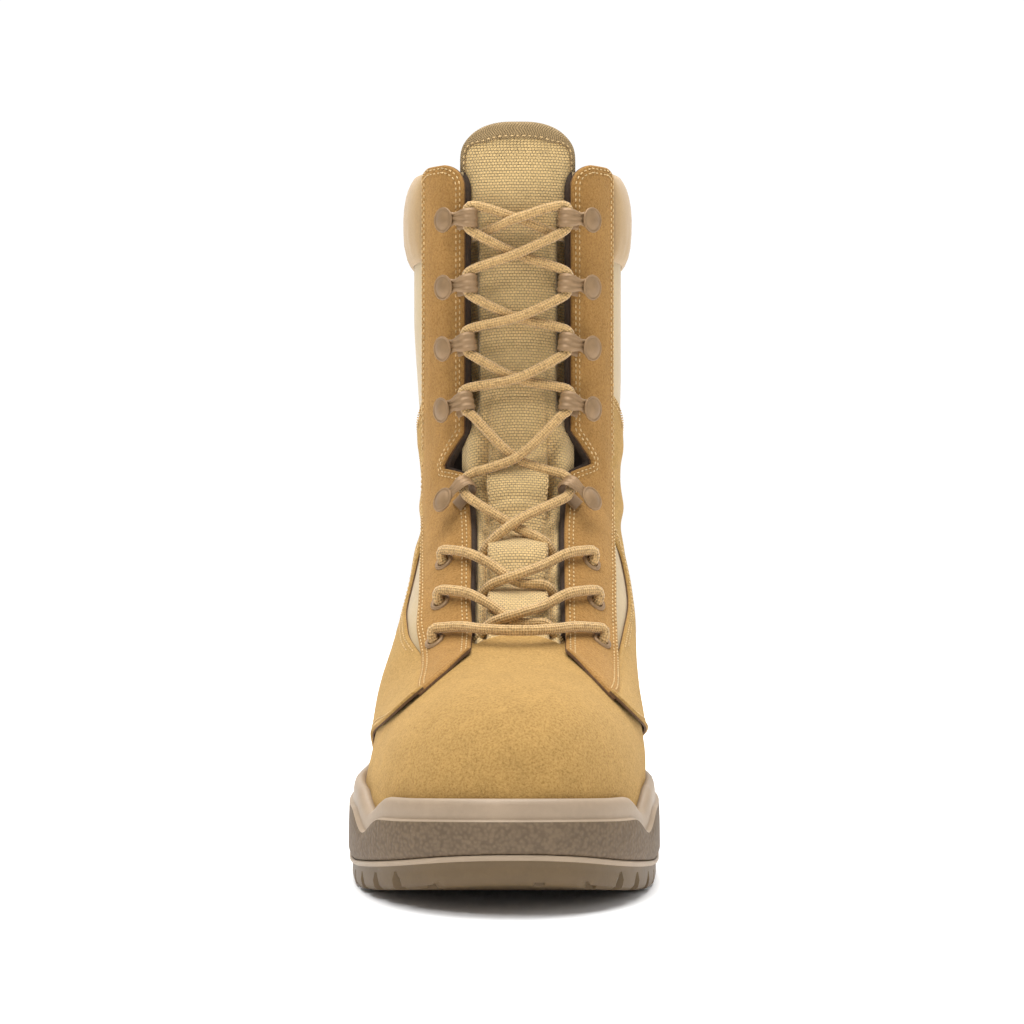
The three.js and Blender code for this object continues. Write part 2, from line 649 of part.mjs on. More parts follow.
function makeStay(side) {
  const tip = [0.35, 0.65, 0.87].map((share) => STAY_TOP - (1 - share) * 0.9);
  const stations = stationsBetween(THROAT_STATION, STAY_TOP - 0.01, [...notchStations(), ...tip]);
  const turns = (station) => {
    const middle = (throatHalf + stayHalf) / 2;
    const share = tipShare(station);
    const front = middle + (throatEdge(station) - middle) * share;
    const rear = middle + (stayHalf - middle) * share;
    return [turnAcross(station, side, front), turnAcross(station, side, rear)];
  };
  return drillEyelets(cutFromLayer(skinPlate(stations, 3, turns, CUT_OUT, CUT_IN)));
}

// Turn at which a section meets the counter's edge, an arc about the foot of the heel in side view.
const COUNTER_CENTRE = { y: 0.985 * soleLength, z: 0.2 * ankleHeight };
function counterTurn(station, radius) {
  const limit = 1 - backstayTurn;
  return bisect(0.05, limit, (turn) => {
    const { y, z } = skin(station, turn);
    return Math.hypot(y - COUNTER_CENTRE.y, z - COUNTER_CENTRE.z) < radius;
  });
}

const QUARTER_TOP = 15.2; // section along which the suede quarter ends and the nylon shaft begins
const COUNTER_FIRST = 10; // the counter reaches no section in front of this one
const COLLAR_LOW = bisect(14, LAST_STATION, (station) => skin(station, 0.5).z > height(2) - 3 - collarHeight);

// The quarter runs from the stay to the counter, with a window of bare nylon behind the stay.
function makeQuarter(side) {
  const gap = 0.7;
  const first = (station) => turnAcross(station, side, stayHalf + gap);
  const last = () => side * (1 - backstayTurn / 2);
  const turns = (station) => [first(station), last(station)];
  const cutter = skinPlate(stationsBetween(THROAT_STATION, QUARTER_TOP), 8, turns, CUT_OUT, CUT_IN);
  const body = cutFromLayer(cutter, overlay - 0.4);
  const windowStations = stationsBetween(7.9, 11.3, [8.4, 10.6]);
  const windowTurns = (station) => {
    const share = (station - 7.9) / (11.3 - 7.9);
    const width = 0.085 * Math.sin(Math.PI * Math.min(0.35 + 0.65 * share, 1)) ** 0.8 + 0.004;
    const start = turnAcross(station, side, stayHalf - 3);
    return [start, first(station) + side * width];
  };
  const window = skinPlate(windowStations, 3, windowTurns, CUT_OUT, CUT_IN);
  return body.subtract(window).subtract(counterCutter(gap)).subtract(belowRand());
}

function counterCutter(gap) {
  const stations = stationsBetween(COUNTER_FIRST + 0.6 - gap / 10, COLLAR_LOW - 0.35);
  const turns = (station) => {
    const edge = counterTurn(station, counterRadius + gap) - gap / 50;
    return [edge, 2 - edge];
  };
  return skinPlate(stations, 16, turns, CUT_OUT, CUT_IN);
}

function makeCounter() {
  return cutFromLayer(counterCutter(0)).subtract(belowRand());
}

// Padded collar: a band round the back of the shaft with a rounded section, from stay to stay.
function makeCollar() {
  const first = turnAcross(18, MEDIAL, stayHalf + 1.2);
  const last = 2 + turnAcross(18, LATERAL, stayHalf + 1.2);
  const columns = 16;
  const rowShares = [0, 0.12, 0.35, 0.65, 0.88, 1];
  const layer = (offsetAt) => rowShares.map((row) => Array.from({ length: columns + 1 }, (_, column) => {
    const turn = first + ((last - first) * column) / columns;
    const station = bisect(14, LAST_STATION, (at) => {
      const point = skin(at, turn);
      return point.z > topLine(point.y) - collarHeight * (1 - row);
    });
    return skinOut(station, turn, offsetAt(row));
  }));
  const bulge = (row) => clearance + 0.8 + collarBulge * Math.sqrt(Math.max(0, 1 - (2 * row - 1) ** 2));
  return plateSolid(layer(bulge), layer(() => CUT_IN)).subtract(lastForm(clearance));
}

const TONGUE_FIRST = 6.2;

function tongueHalfAt(station, inset) {
  const below = height(2) + tongueRise - inset - skin(station, 0).z;
  return (tongueHalf - 2 - inset) * roundedEnd(below / 13) + 2;
}

function tongueTurns(inset) {
  return (station) => {
    const half = tongueHalfAt(station, inset);
    return [turnAcross(station, LATERAL, half), turnAcross(station, MEDIAL, half)];
  };
}

const tongueOuter = -wall - clearance - 0.9;
const tongueBack = tongueOuter - tongueThickness;

const BINDING_LOW = bisect(THROAT_STATION, LAST_STATION, (station) => skin(station, 0).z > height(1.8));

function tonguePlate(first, inset, outer, inner) {
  const rim = height(2) + tongueRise - inset;
  const top = bisect(THROAT_STATION, LAST_STATION, (station) => skin(station, 0).z > rim);
  const stations = stationsBetween(first, top - 0.005, [top - 0.05, top - 0.2, top - 0.5]);
  return skinPlate(stations, 8, tongueTurns(inset), outer, inner);
}

function makeTongue() {
  const body = tonguePlate(TONGUE_FIRST, 0, tongueOuter, tongueBack);
  const core = tonguePlate(BINDING_LOW - 0.5, bindingWidth + clearance, CUT_OUT, tongueBack - tongueReach);
  const low = skinPlate([TONGUE_FIRST - 0.5, 9, 12, 15, BINDING_LOW], 6, () => [-0.7, 0.7], CUT_OUT, tongueBack - tongueReach);
  return body.intersect(core.add(low));
}

// Tape folded over the tongue's free edge, a little thicker than the tongue.
function makeBinding() {
  const extra = 0.5;
  const outer = tongueOuter + extra;
  const whole = tonguePlate(BINDING_LOW + 0.1, 0, outer, tongueBack - extra);
  return whole.subtract(tonguePlate(BINDING_LOW - 0.6, bindingWidth, CUT_OUT, tongueBack - tongueReach));
}

// Eyelet: a rolled flange on the stay with a short barrel through the leather.
function eyeletGeometry() {
  const barrel = stayTop + wall + 0.4;
  const outline = [
    [eyeletHole, -barrel],
    [eyeletHole + 0.5, -barrel],
    [eyeletHole + 0.5, clearance],
    [eyeletFlange, clearance],
    [eyeletFlange - 0.4, clearance + eyeletFlangeHeight],
    [eyeletHole, clearance + 0.7 * eyeletFlangeHeight],
    [eyeletHole, -barrel],
  ];
  return new THREE.LatheGeometry(outline.map(([r, y]) => new THREE.Vector2(r, y)), 8);
}

// Speed hook: a strip bent back over itself at the throat, with a disc on its open end.
const hookLift = clearance + 0.45; // its foot clears the leather's faceted surface
const hookAxis = hookLift + hookSheet + hookMouth; // height of the lace in its bend
function hookSolid(frame) {
  const outerR = hookMouth + hookSheet;
  const bend = (radius, steps) => Array.from({ length: steps + 1 }, (_, i) => {
    const angle = -Math.PI / 2 - (Math.PI * i) / steps;
    return new THREE.Vector2(hookBendAt + radius * Math.cos(angle), hookAxis + radius * Math.sin(angle));
  });
  const steps = 4;
  const outline = [
    new THREE.Vector2(hookFoot, hookLift),
    ...bend(outerR, steps),
    new THREE.Vector2(hookDiscAt, hookAxis + outerR),
    new THREE.Vector2(hookDiscAt, hookAxis + hookMouth),
    ...bend(hookMouth, steps).reverse(),
    new THREE.Vector2(hookFoot, hookLift + hookSheet),
  ];
  const strip = new THREE.ExtrudeGeometry(new THREE.Shape(outline), { depth: hookWidth, bevelEnabled: false });
  strip.translate(0, 0, -hookWidth / 2);
  const disc = new THREE.CylinderGeometry(hookDiscRadius - 0.5, hookDiscRadius, hookDiscHeight, 10);
  disc.translate(hookDiscAt, hookAxis + outerR + hookDiscHeight / 2 - 0.4, 0);
  return solidFromGeometry(placed(strip, frame)).add(solidFromGeometry(placed(disc, frame)));
}

function hookFrames() {
  return HOOK_ROWS.flatMap((row, i) => [LATERAL, MEDIAL].map((side) => ({
    name: `hook_${side === LATERAL ? 'lateral' : 'medial'}_${i + 1}`,
    frame: seatFrame(side, row.up, hookSeat, stayTop, row.tilt),
    side,
    row: i,
  })));
}

// Point of the lace on a hook, in its bend, slid along the bend by rise.
function laceOnHook(side, row, rise) {
  const { frame } = hookFrames().find((hook) => hook.side === side && hook.row === row);
  const up = Math.sign(frame.third.z);
  return frame.seat.clone()
    .addScaledVector(frame.away, hookBendAt + 0.25)
    .addScaledVector(frame.normal, hookAxis)
    .addScaledVector(frame.third, up * rise);
}

// Point of the lace over the tongue: across from the centre line at a level, lifted off the skin.
function laceOver(level, across, lift) {
  const side = across < 0 ? LATERAL : MEDIAL;
  const station = stationAt(level, (at) => turnAcross(at, side, Math.abs(across)));
  return skinOut(station, turnAcross(station, side, Math.abs(across)), lift);
}

const laceFloor = tongueOuter + 0.5 + laceDiameter / 2 + clearance + 1.6; // lift of a strand lying on the tongue

// Smooth path whose even steps fall on its own points.
class SteppedPath extends THREE.CatmullRomCurve3 {
  getPointAt(share, target) {
    return this.getPoint(share, target);
  }

  getTangentAt(share, target) {
    return this.getTangent(share, target);
  }
}

function laceTube(points) {
  const path = new SteppedPath(points, false, 'centripetal');
  const section = new THREE.Shape(Array.from({ length: laceSides }, (_, i) => {
    const angle = (2 * Math.PI * i) / laceSides;
    const radius = laceDiameter / 2;
    return new THREE.Vector2(radius * Math.cos(angle), radius * Math.sin(angle));
  }));
  const steps = points.length - 1;
  return solidFromGeometry(new THREE.ExtrudeGeometry(section, { steps, extrudePath: path, bevelEnabled: false }));
}

// Points of one strand between a low level on one side and a high one on the other, over the tongue.
function crossing(side, lowLevel, highLevel) {
  const reach = throatFoot - laceTuck;
  return [-1, 0, 1].map((share) => {
    const level = lowLevel + ((highLevel - lowLevel) * (share + 1)) / 2;
    return laceOver(level, -side * share * reach, laceFloor + 1.2 * Math.abs(share));
  });
}

// Strand of an eyelet row: out of the throat on one side, over the other stay and onto its eyelet.
function eyeletStrand(side, row) {
  const [low, high] = [EYELET_ROWS[row], EYELET_ROWS[row + 1]];
  const rest = stayTop + clearance + eyeletFlangeHeight + laceDiameter / 2 + 0.5;
  const onStay = laceOver(high.up, -side * (throatFoot + 3), rest - 0.2);
  const overEyelet = laceOver(high.up, -side * high.across * stayHalf * 0.93, rest);
  return [...crossing(side, low.up + 0.06, high.up - 0.01), onStay, overEyelet];
}

function makeLaceCross(row) {
  return laceTube(eyeletStrand(LATERAL, row)).add(laceTube(eyeletStrand(MEDIAL, row)));
}

// The bar across the foot of the throat, from eyelet to eyelet.
function makeLaceBar() {
  const { up, across } = EYELET_ROWS[0];
  const rest = stayTop + clearance + eyeletFlangeHeight + laceDiameter / 2 + 0.5;
  const shares = [-0.93, -0.6, -0.25, 0.25, 0.6, 0.93];
  return laceTube(shares.map((share) => laceOver(up + 0.02 * (1 - share * share), share * across * stayHalf, rest)));
}

// One half of the lace above the eyelets: out of the throat, then from hook to hook up to the top.
function hookStrand(side) {
  const last = HOOK_ROWS.length - 1;
  const points = crossing(side, EYELET_ROWS[2].up + 0.03, HOOK_ROWS[0].up - 0.05);
  let at = -side;
  for (let row = 0; row <= last; row += 1) {
    points.push(laceOnHook(at, row, -hookReach), laceOnHook(at, row, hookReach));
    if (row < last) {
      const level = (HOOK_ROWS[row].up + HOOK_ROWS[row + 1].up) / 2;
      points.push(laceOver(level, at * 2, laceFloor));
    }
    at = -at;
  }
  return points;
}

// From the top hooks the ends cross once more and are tucked in behind the opposite stay.
function makeLaceHooked() {
  const top = HOOK_ROWS[HOOK_ROWS.length - 1].up;
  const strand = (side) => {
    const points = hookStrand(side);
    const at = Math.sign(points[points.length - 1].x);
    points.push(laceOver(top + 0.05, at, laceFloor + 0.6));
    points.push(laceOver(top - 0.05, -at * (throatHalf - laceTuck), laceFloor));
    return laceTube(points);
  };
  return strand(LATERAL).add(strand(MEDIAL));
}

const FINISHES = {
  suede: { color: '#b98d57', roughness: 0.95 },
  nylon: { color: '#cfb385', roughness: 0.85 },
  padding: { color: '#d6b98b', roughness: 0.7 },
  tape: { color: '#b39667', roughness: 0.85 },
  lace: { color: '#c9a672', roughness: 0.8 },
  foam: { color: '#93806a', roughness: 0.8 },
  rubber: { color: '#8b775a', roughness: 0.75 },
  hardware: { color: '#9f8762', roughness: 0.45, metalness: 0.3 },
  lining: { color: '#3a3128', roughness: 0.95 },
};
const materials = Object.fromEntries(Object.entries(FINISHES).map(([name, finish]) => [name, new THREE.MeshStandardMaterial({ name, metalness: 0, ...finish })]));

const boot = new THREE.Group();
boot.name = 'combat_boot';
function addPiece(name, solid, finish) {
  const mesh = new THREE.Mesh(solid.isBufferGeometry ? solid : geometryFrom(solid), materials[finish]);
  mesh.name = name;
  boot.add(mesh);
}

addPiece('outsole', makeOutsole(), 'rubber');
addPiece('midsole', makeMidsole(), 'foam');
addPiece('insole', makeInsole(), 'lining');
addPiece('upper', makeUpper(), 'nylon');
addPiece('lace_stay_lateral', makeStay(LATERAL), 'suede');
addPiece('lace_stay_medial', makeStay(MEDIAL), 'suede');
addPiece('quarter_lateral', makeQuarter(LATERAL), 'suede');
addPiece('quarter_medial', makeQuarter(MEDIAL), 'suede');
addPiece('heel_counter', makeCounter(), 'suede');
addPiece('collar', makeCollar(), 'padding');
addPiece('tongue', makeTongue(), 'nylon');
addPiece('tongue_binding', makeBinding(), 'tape');
for (const { name, frame } of eyeletFrames()) {
  addPiece(name, geometryFrom(solidFromGeometry(placed(eyeletGeometry(), frame))), 'hardware');
}
for (const { name, frame } of hookFrames()) addPiece(name, hookSolid(frame), 'hardware');
addPiece('lace_bar', makeLaceBar(), 'lace');
for (let row = 0; row + 1 < EYELET_ROWS.length; row += 1) addPiece(`lace_cross_${row + 1}`, makeLaceCross(row), 'lace');
addPiece('lace_hooked', makeLaceHooked(), 'lace');

// The origin is the middle of the boot's footprint, on the floor.
const extent = new THREE.Box3().setFromObject(boot);
const middle = extent.getCenter(new THREE.Vector3());
boot.position.set(-middle.x, -middle.y, -extent.min.z);
boot.updateMatrixWorld(true);

export default boot;
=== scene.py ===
"""Looks of the combat boot: suede, woven nylon, padded collar and tongue, lace, hooks and sole, built
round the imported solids. The boot is drawn in millimetres as the part's source draws it: y runs from
the toe (0) to the heel, x from the little-toe side (minus) to the arch side (plus), z up."""
import math

import bmesh
import bpy
import numpy as np
from bpy.props import FloatProperty, FloatVectorProperty, PointerProperty
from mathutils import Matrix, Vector
from mathutils.kdtree import KDTree


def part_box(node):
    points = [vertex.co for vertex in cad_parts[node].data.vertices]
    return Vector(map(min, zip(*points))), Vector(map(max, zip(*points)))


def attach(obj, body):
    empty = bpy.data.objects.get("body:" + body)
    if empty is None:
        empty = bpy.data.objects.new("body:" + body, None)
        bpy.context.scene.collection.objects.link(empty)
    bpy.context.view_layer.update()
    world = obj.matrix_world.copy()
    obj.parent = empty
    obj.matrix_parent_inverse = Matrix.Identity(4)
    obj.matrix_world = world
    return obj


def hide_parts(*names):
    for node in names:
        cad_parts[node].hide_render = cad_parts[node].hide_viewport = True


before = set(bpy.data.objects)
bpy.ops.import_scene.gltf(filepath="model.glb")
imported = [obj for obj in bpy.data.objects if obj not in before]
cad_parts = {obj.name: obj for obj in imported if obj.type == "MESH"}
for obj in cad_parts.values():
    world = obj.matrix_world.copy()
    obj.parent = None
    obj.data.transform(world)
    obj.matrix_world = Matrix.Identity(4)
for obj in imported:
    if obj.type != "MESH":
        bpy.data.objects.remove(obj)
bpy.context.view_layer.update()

bl_info = {
    "name": "Combat boot",
    "version": (1, 0, 0),
    "blender": (4, 5, 0),
    "location": "3D View > Sidebar > Boot",
    "description": "Builds the looks of a laced suede and nylon combat boot",
    "category": "Object",
}

MM = 0.001
LATERAL, MEDIAL = -1, 1

# Sizes of the boot, in millimetres, as in the part's source.
SOLE_LENGTH = 308.0
BALL_WIDTH = 112.0
ANKLE_HEIGHT = 138.0
SHAFT_HEIGHT = 127.0
SHAFT_WIDTH = 84.0
TOE_SPRING = 12.0
ARCH_RISE = 9.0
OUTSOLE = 10.0
MIDSOLE = 18.0
RAND_REACH = 5.0
RAND_RISE = 13.0
TOE_ROUND = 92.0
HEEL_ROUND = 40.0
WALL = 2.2
OVERLAY = 1.6
CLEARANCE = 0.3
THROAT_HALF = 20.3
THROAT_FOOT = 17.4
STAY_HALF = 36.5
NOTCH_DEPTH = 8.0
NOTCH_HEIGHT = 15.0
NOTCH_LEVEL = 1.112
COLLAR_HEIGHT = 34.0
COUNTER_RADIUS = 92.0
BACKSTAY_TURN = 0.08
TONGUE_HALF = 25.0
TONGUE_RISE = 16.5
HOOK_SEAT = 21.6
HOOK_BEND = -7.0
ROUNDNESS = 2.2
STAY_OUT = CLEARANCE + OVERLAY
TONGUE_OUT = -WALL - CLEARANCE - 0.9
FRONT_STATION = 7.0  # the section of the last at which the vamp ends and the quarters start
QUARTER_TOP = 15.2
TREAD_INSET = 2.8  # how far the tread's rim lies in from the outsole's wall

# From the drawing's zero to the world's: the sole's middle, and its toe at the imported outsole's own.
SHIFT = np.array([5.04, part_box("outsole")[0].y / MM - 0.092, 0.0])

SOLE_WIDTHS = np.array([
    # along, lateral, medial
    (0.0, 0.545, 0.455), (0.31, 0.545, 0.455), (0.45, 0.515, 0.412), (0.58, 0.445, 0.37),
    (0.72, 0.4, 0.36), (0.85, 0.375, 0.365), (1.0, 0.365, 0.36),
])
SOLE_PROFILE = np.array([
    # along, spring, arch, outer, foam, rand
    (0.0, 1.0, 0.0, 1.0, 0.46, 0.82), (0.06, 0.62, 0.0, 1.0, 0.58, 0.82), (0.1, 0.42, 0.0, 1.0, 0.63, 0.84),
    (0.15, 0.22, 0.0, 1.0, 0.69, 0.42), (0.21, 0.04, 0.0, 1.0, 0.74, 0.98), (0.25, 0.0, 0.0, 1.0, 0.76, 1.02),
    (0.4, 0.0, 0.0, 1.0, 0.78, 0.96), (0.47, 0.0, 0.3, 1.12, 0.81, 0.96), (0.56, 0.0, 0.85, 1.38, 0.87, 1.0),
    (0.69, 0.0, 1.0, 1.6, 0.96, 1.05), (0.7, 0.0, 0.0, 1.62, 0.97, 1.05), (0.93, 0.0, 0.0, 1.6, 1.0, 1.1),
    (1.0, 0.22, 0.0, 1.4, 1.0, 1.25),
])
FOOT_SECTIONS = [
    # front along, front up, back along, back up, lateral, medial, crown lateral, crown medial, base
    (0.023, 0.31, 0.023, 0.13, 1.0, 1.0, 0.6, 0.6, 0.2),
    (0.032, 0.395, 0.029, 0.12, 1.0, 1.0, 0.74, 0.7, 0.16),
    (0.054, 0.463, 0.05, 0.11, 1.0, 1.0, 0.78, 0.7, 0.15),
    (0.088, 0.512, 0.085, 0.1, 1.0, 1.0, 0.78, 0.68, 0.14),
    (0.14, 0.545, 0.14, 0.09, 1.0, 1.0, 0.76, 0.64, 0.14),
    (0.205, 0.565, 0.21, 0.08, 1.0, 1.0, 0.79, 0.6, 0.15),
    (0.273, 0.59, 0.29, 0.07, 1.0, 1.01, 0.8, 0.56, 0.16),
    (0.338, 0.632, 0.385, 0.07, 1.0, 1.04, 0.74, 0.52, 0.22),
    (0.39, 0.706, 0.49, 0.08, 1.04, 1.12, 0.62, 0.48, 0.3),
    (0.435, 0.792, 0.6, 0.09, 1.09, 1.22, 0.52, 0.44, 0.36),
    (0.477, 0.872, 0.72, 0.09, 1.1, 1.26, 0.42, 0.38, 0.38),
    (0.51, 0.94, 0.845, 0.1, 1.11, 1.23, 0.35, 0.33, 0.36),
    (0.535, 1.015, 0.965, 0.15, 1.09, 1.16, 0.31, 0.3, 0.33),
]
SHAFT_SECTIONS = [
    # front along, front up, back along, back up, lateral, medial, heel, crown lateral, crown medial, base
    (0.55, 1.11, 0.981, 0.36, 0.9, 0.965, 0.94, 0.33, 0.32, 0.34),
    (0.559, 1.23, 0.977, 0.62, 0.89, 0.96, 0.96, 0.38, 0.37, 0.38),
    (0.565, 1.36, 0.963, 0.88, 0.93, 0.98, 0.98, 0.42, 0.42, 0.42),
    (0.569, 1.5, 0.949, 1.14, 0.97, 1.0, 1.0, 0.45, 0.45, 0.45),
    (0.572, 1.64, 0.942, 1.4, 1.0, 1.0, 1.0, 0.46, 0.46, 0.47),
    (0.575, 1.77, 0.94, 1.62, 1.0, 1.0, 1.0, 0.47, 0.47, 0.48),
    (0.578, 1.9, 0.942, 1.81, 1.0, 1.0, 1.0, 0.47, 0.47, 0.48),
    (0.581, 2.04, 0.945, 2.0, 1.0, 1.0, 1.0, 0.47, 0.47, 0.48),
    (0.585, 2.21, 0.95, 2.21, 1.0, 1.0, 1.0, 0.47, 0.47, 0.48),
]
LAST_STATION = len(FOOT_SECTIONS) + len(SHAFT_SECTIONS) - 1
EYELET_ROWS = [(0.598, 0.81), (0.693, 0.765), (0.796, 0.73)]  # level, share of STAY_HALF across
HOOK_ROWS = [(0.946, 32.0), (1.244, 0.0), (1.433, 0.0), (1.618, 0.0), (1.823, 0.0)]  # level, tilt
TREAD_CUTS = [23.4, 36.2, 50.5, 64.5, 79.0, 93.5, 108.0, 122.5] + [230.6 + 15.0 * i for i in range(4)]
CUT_TOP, CUT_BOTTOM, CUT_DEPTH = 2.1, 0.9, 6.0  # half widths of a tread groove, and its depth
TOE_NICKS = [(-29.0, 8.6), (7.0, 0.5), (24.0, 8.4)]
SPLIT = 0.15 * BALL_WIDTH


# ---- Curves and the form of the last

def curve_through(x, y):
    """Smooth curve through the rows of a table, with no overshoot between them."""
    x, y = np.asarray(x, float), np.asarray(y, float)
    step = np.diff(x)
    slope = np.diff(y) / step
    tangent = np.empty_like(y)
    tangent[0], tangent[-1] = slope[0], slope[-1]
    before, after = 2 * step[1:] + step[:-1], step[1:] + 2 * step[:-1]
    turning = slope[:-1] * slope[1:] <= 0
    low = np.where(turning, 1.0, slope[:-1])
    high = np.where(turning, 1.0, slope[1:])
    tangent[1:-1] = np.where(turning, 0.0, (before + after) / (before / low + after / high))

    def at(value):
        value = np.clip(value, x[0], x[-1])
        i = np.clip(np.searchsorted(x, value, side="right") - 1, 0, len(step) - 1)
        t = (value - x[i]) / step[i]
        rise = y[i] * (1 + 2 * t) * (1 - t) ** 2 + y[i + 1] * t * t * (3 - 2 * t)
        return rise + step[i] * (tangent[i] * t * (1 - t) ** 2 - tangent[i + 1] * t * t * (1 - t))

    return at


def smoothstep(x, low, high):
    t = np.clip((x - low) / (high - low), 0, 1)
    return t * t * (3 - 2 * t)


def bump(x, middle, width):
    """Soft hill, 1 at its middle."""
    return np.exp(-((x - middle) / width) ** 2)


def rounded_end(share):
    share = np.clip(share, 0, 1)
    return (1 - (1 - share) ** ROUNDNESS) ** (1 / ROUNDNESS)


def height(level):
    return ANKLE_HEIGHT * level if level <= 1 else ANKLE_HEIGHT + (level - 1) * SHAFT_HEIGHT


sole_lateral = curve_through(SOLE_WIDTHS[:, 0], SOLE_WIDTHS[:, 1])
sole_medial = curve_through(SOLE_WIDTHS[:, 0], SOLE_WIDTHS[:, 2])
sole_spring, sole_arch, sole_outer, sole_foam, sole_rand = (
    curve_through(SOLE_PROFILE[:, 0], SOLE_PROFILE[:, column]) for column in range(1, 6)
)


def sole_half(side, y, inset=0.0):
    share = (sole_lateral if side == LATERAL else sole_medial)(y / SOLE_LENGTH)
    toe = rounded_end((y - inset) / TOE_ROUND)
    heel = rounded_end((SOLE_LENGTH - inset - y) / HEEL_ROUND)
    return np.maximum((share * BALL_WIDTH - inset) * toe * heel, 0)


def tread_height(y):
    return TOE_SPRING * sole_spring(y / SOLE_LENGTH) + ARCH_RISE * sole_arch(y / SOLE_LENGTH)


def outsole_top(y):
    return TOE_SPRING * sole_spring(y / SOLE_LENGTH) + OUTSOLE * sole_outer(y / SOLE_LENGTH)


def platform(y):
    return outsole_top(y) + MIDSOLE * sole_foam(y / SOLE_LENGTH)


def rand_top(y):
    return platform(y) + RAND_RISE * sole_rand(y / SOLE_LENGTH)


def section_rows():
    rows = []
    for onshaft, table in ((False, FOOT_SECTIONS), (True, SHAFT_SECTIONS)):
        for row in table:
            front = (row[0] * SOLE_LENGTH, height(row[1]))
            back = (row[2] * SOLE_LENGTH, height(row[3]))
            feather = np.clip((front[1] - platform(back[0])) / (front[1] - back[1]), 0, 1)
            y = min(front[0] + feather * (back[0] - front[0]), SOLE_LENGTH - RAND_REACH - HEEL_ROUND)
            half = [SHAFT_WIDTH / 2 if onshaft else sole_half(s, y, RAND_REACH) for s in (LATERAL, MEDIAL)]
            heel = row[6] if onshaft else 1.0
            foot = [heel * (row[4 + k] if onshaft else 1.0) * half[k] for k in (0, 1)]
            rows.append([*front, *back, row[4] * half[0], row[5] * half[1], *foot, *row[-3:]])
    return np.array(rows, float)


_stations = np.arange(LAST_STATION + 1, dtype=float)
SECTION = [curve_through(_stations, column) for column in section_rows().T]


def skin(station, turn):
    """Point on the upper's outer surface. turn goes round a section: 0 is the front, 0.5 the arch
    side, 1 the back and 1.5 the little-toe side."""
    station, turn = np.broadcast_arrays(np.asarray(station, float), np.asarray(turn, float))
    fy, fz, by, bz, lat, med, foot_lat, foot_med, crown_lat, crown_med, base = (c(station) for c in SECTION)
    wrapped = np.mod(turn, 2)
    medial = wrapped <= 1
    share = (1 - np.cos(np.pi * np.where(medial, wrapped, 2 - wrapped))) / 2
    top, foot = np.where(medial, med, lat), np.where(medial, foot_med, foot_lat)
    half = top + (foot - top) * smoothstep(share, 0.3, 0.92)
    crown = np.where(medial, crown_med, crown_lat)
    width = half * rounded_end(share / crown) * rounded_end((1 - share) / base)
    return np.stack([np.where(medial, 1, -1) * width, fy + share * (by - fy), fz + share * (bz - fz)], -1)


def unit(vector):
    return vector / np.maximum(np.linalg.norm(vector, axis=-1, keepdims=True), 1e-12)


def skin_frame(station, turn, reach=0.02):
    """Point, outward normal and the two ways along the surface."""
    low, high = np.maximum(station - reach, 0), np.minimum(station + reach, LAST_STATION)
    up = (skin(high, turn) - skin(low, turn)) / (high - low)[..., None]
    around = (skin(station, turn + reach) - skin(station, turn - reach)) / (2 * reach)
    return skin(station, turn), unit(np.cross(around, up)), up, around


def skin_out(station, turn, offset):
    station, turn = np.broadcast_arrays(np.asarray(station, float), np.asarray(turn, float))
    point, normal, _, _ = skin_frame(station, turn)
    return point + normal * np.asarray(offset, float)[..., None]


def bisect(low, high, is_past, shape=()):
    a, b = np.full(shape, float(low)), np.full(shape, float(high))
    for _ in range(26):
        middle = (a + b) / 2
        past = is_past(middle)
        a, b = np.where(past, a, middle), np.where(past, middle, b)
    return (a + b) / 2


def turn_across(station, side, across):
    station = np.asarray(station, float)
    sweep = bisect(0, 0.5, lambda t: np.abs(skin(station, side * t)[..., 0]) > across, station.shape)
    return side * sweep


def station_at(z, turn_of):
    return bisect(6, LAST_STATION, lambda s: skin(s, turn_of(s))[..., 2] > z, np.shape(z))


def throat_edge(station):
    level = skin(station, turn_across(station, MEDIAL, THROAT_HALF))[..., 2]
    share = smoothstep(level, height(0.85), height(1.15))
    edge = THROAT_FOOT + (THROAT_HALF - THROAT_FOOT) * share
    off = np.sqrt(((level - height(NOTCH_LEVEL)) / (NOTCH_HEIGHT / 2)) ** 2 + 0.012) - 0.1
    return edge + NOTCH_DEPTH * np.maximum(0, 1 - off)


def top_line(y):
    return height(2) - 3 - 5 * smoothstep(y, 0.6 * SOLE_LENGTH, 0.93 * SOLE_LENGTH)


STAY_TOP = float(bisect(7, LAST_STATION, lambda s: skin(s, np.zeros(()))[..., 2] > height(2) + 1))


# ---- Closed bodies from grids of points

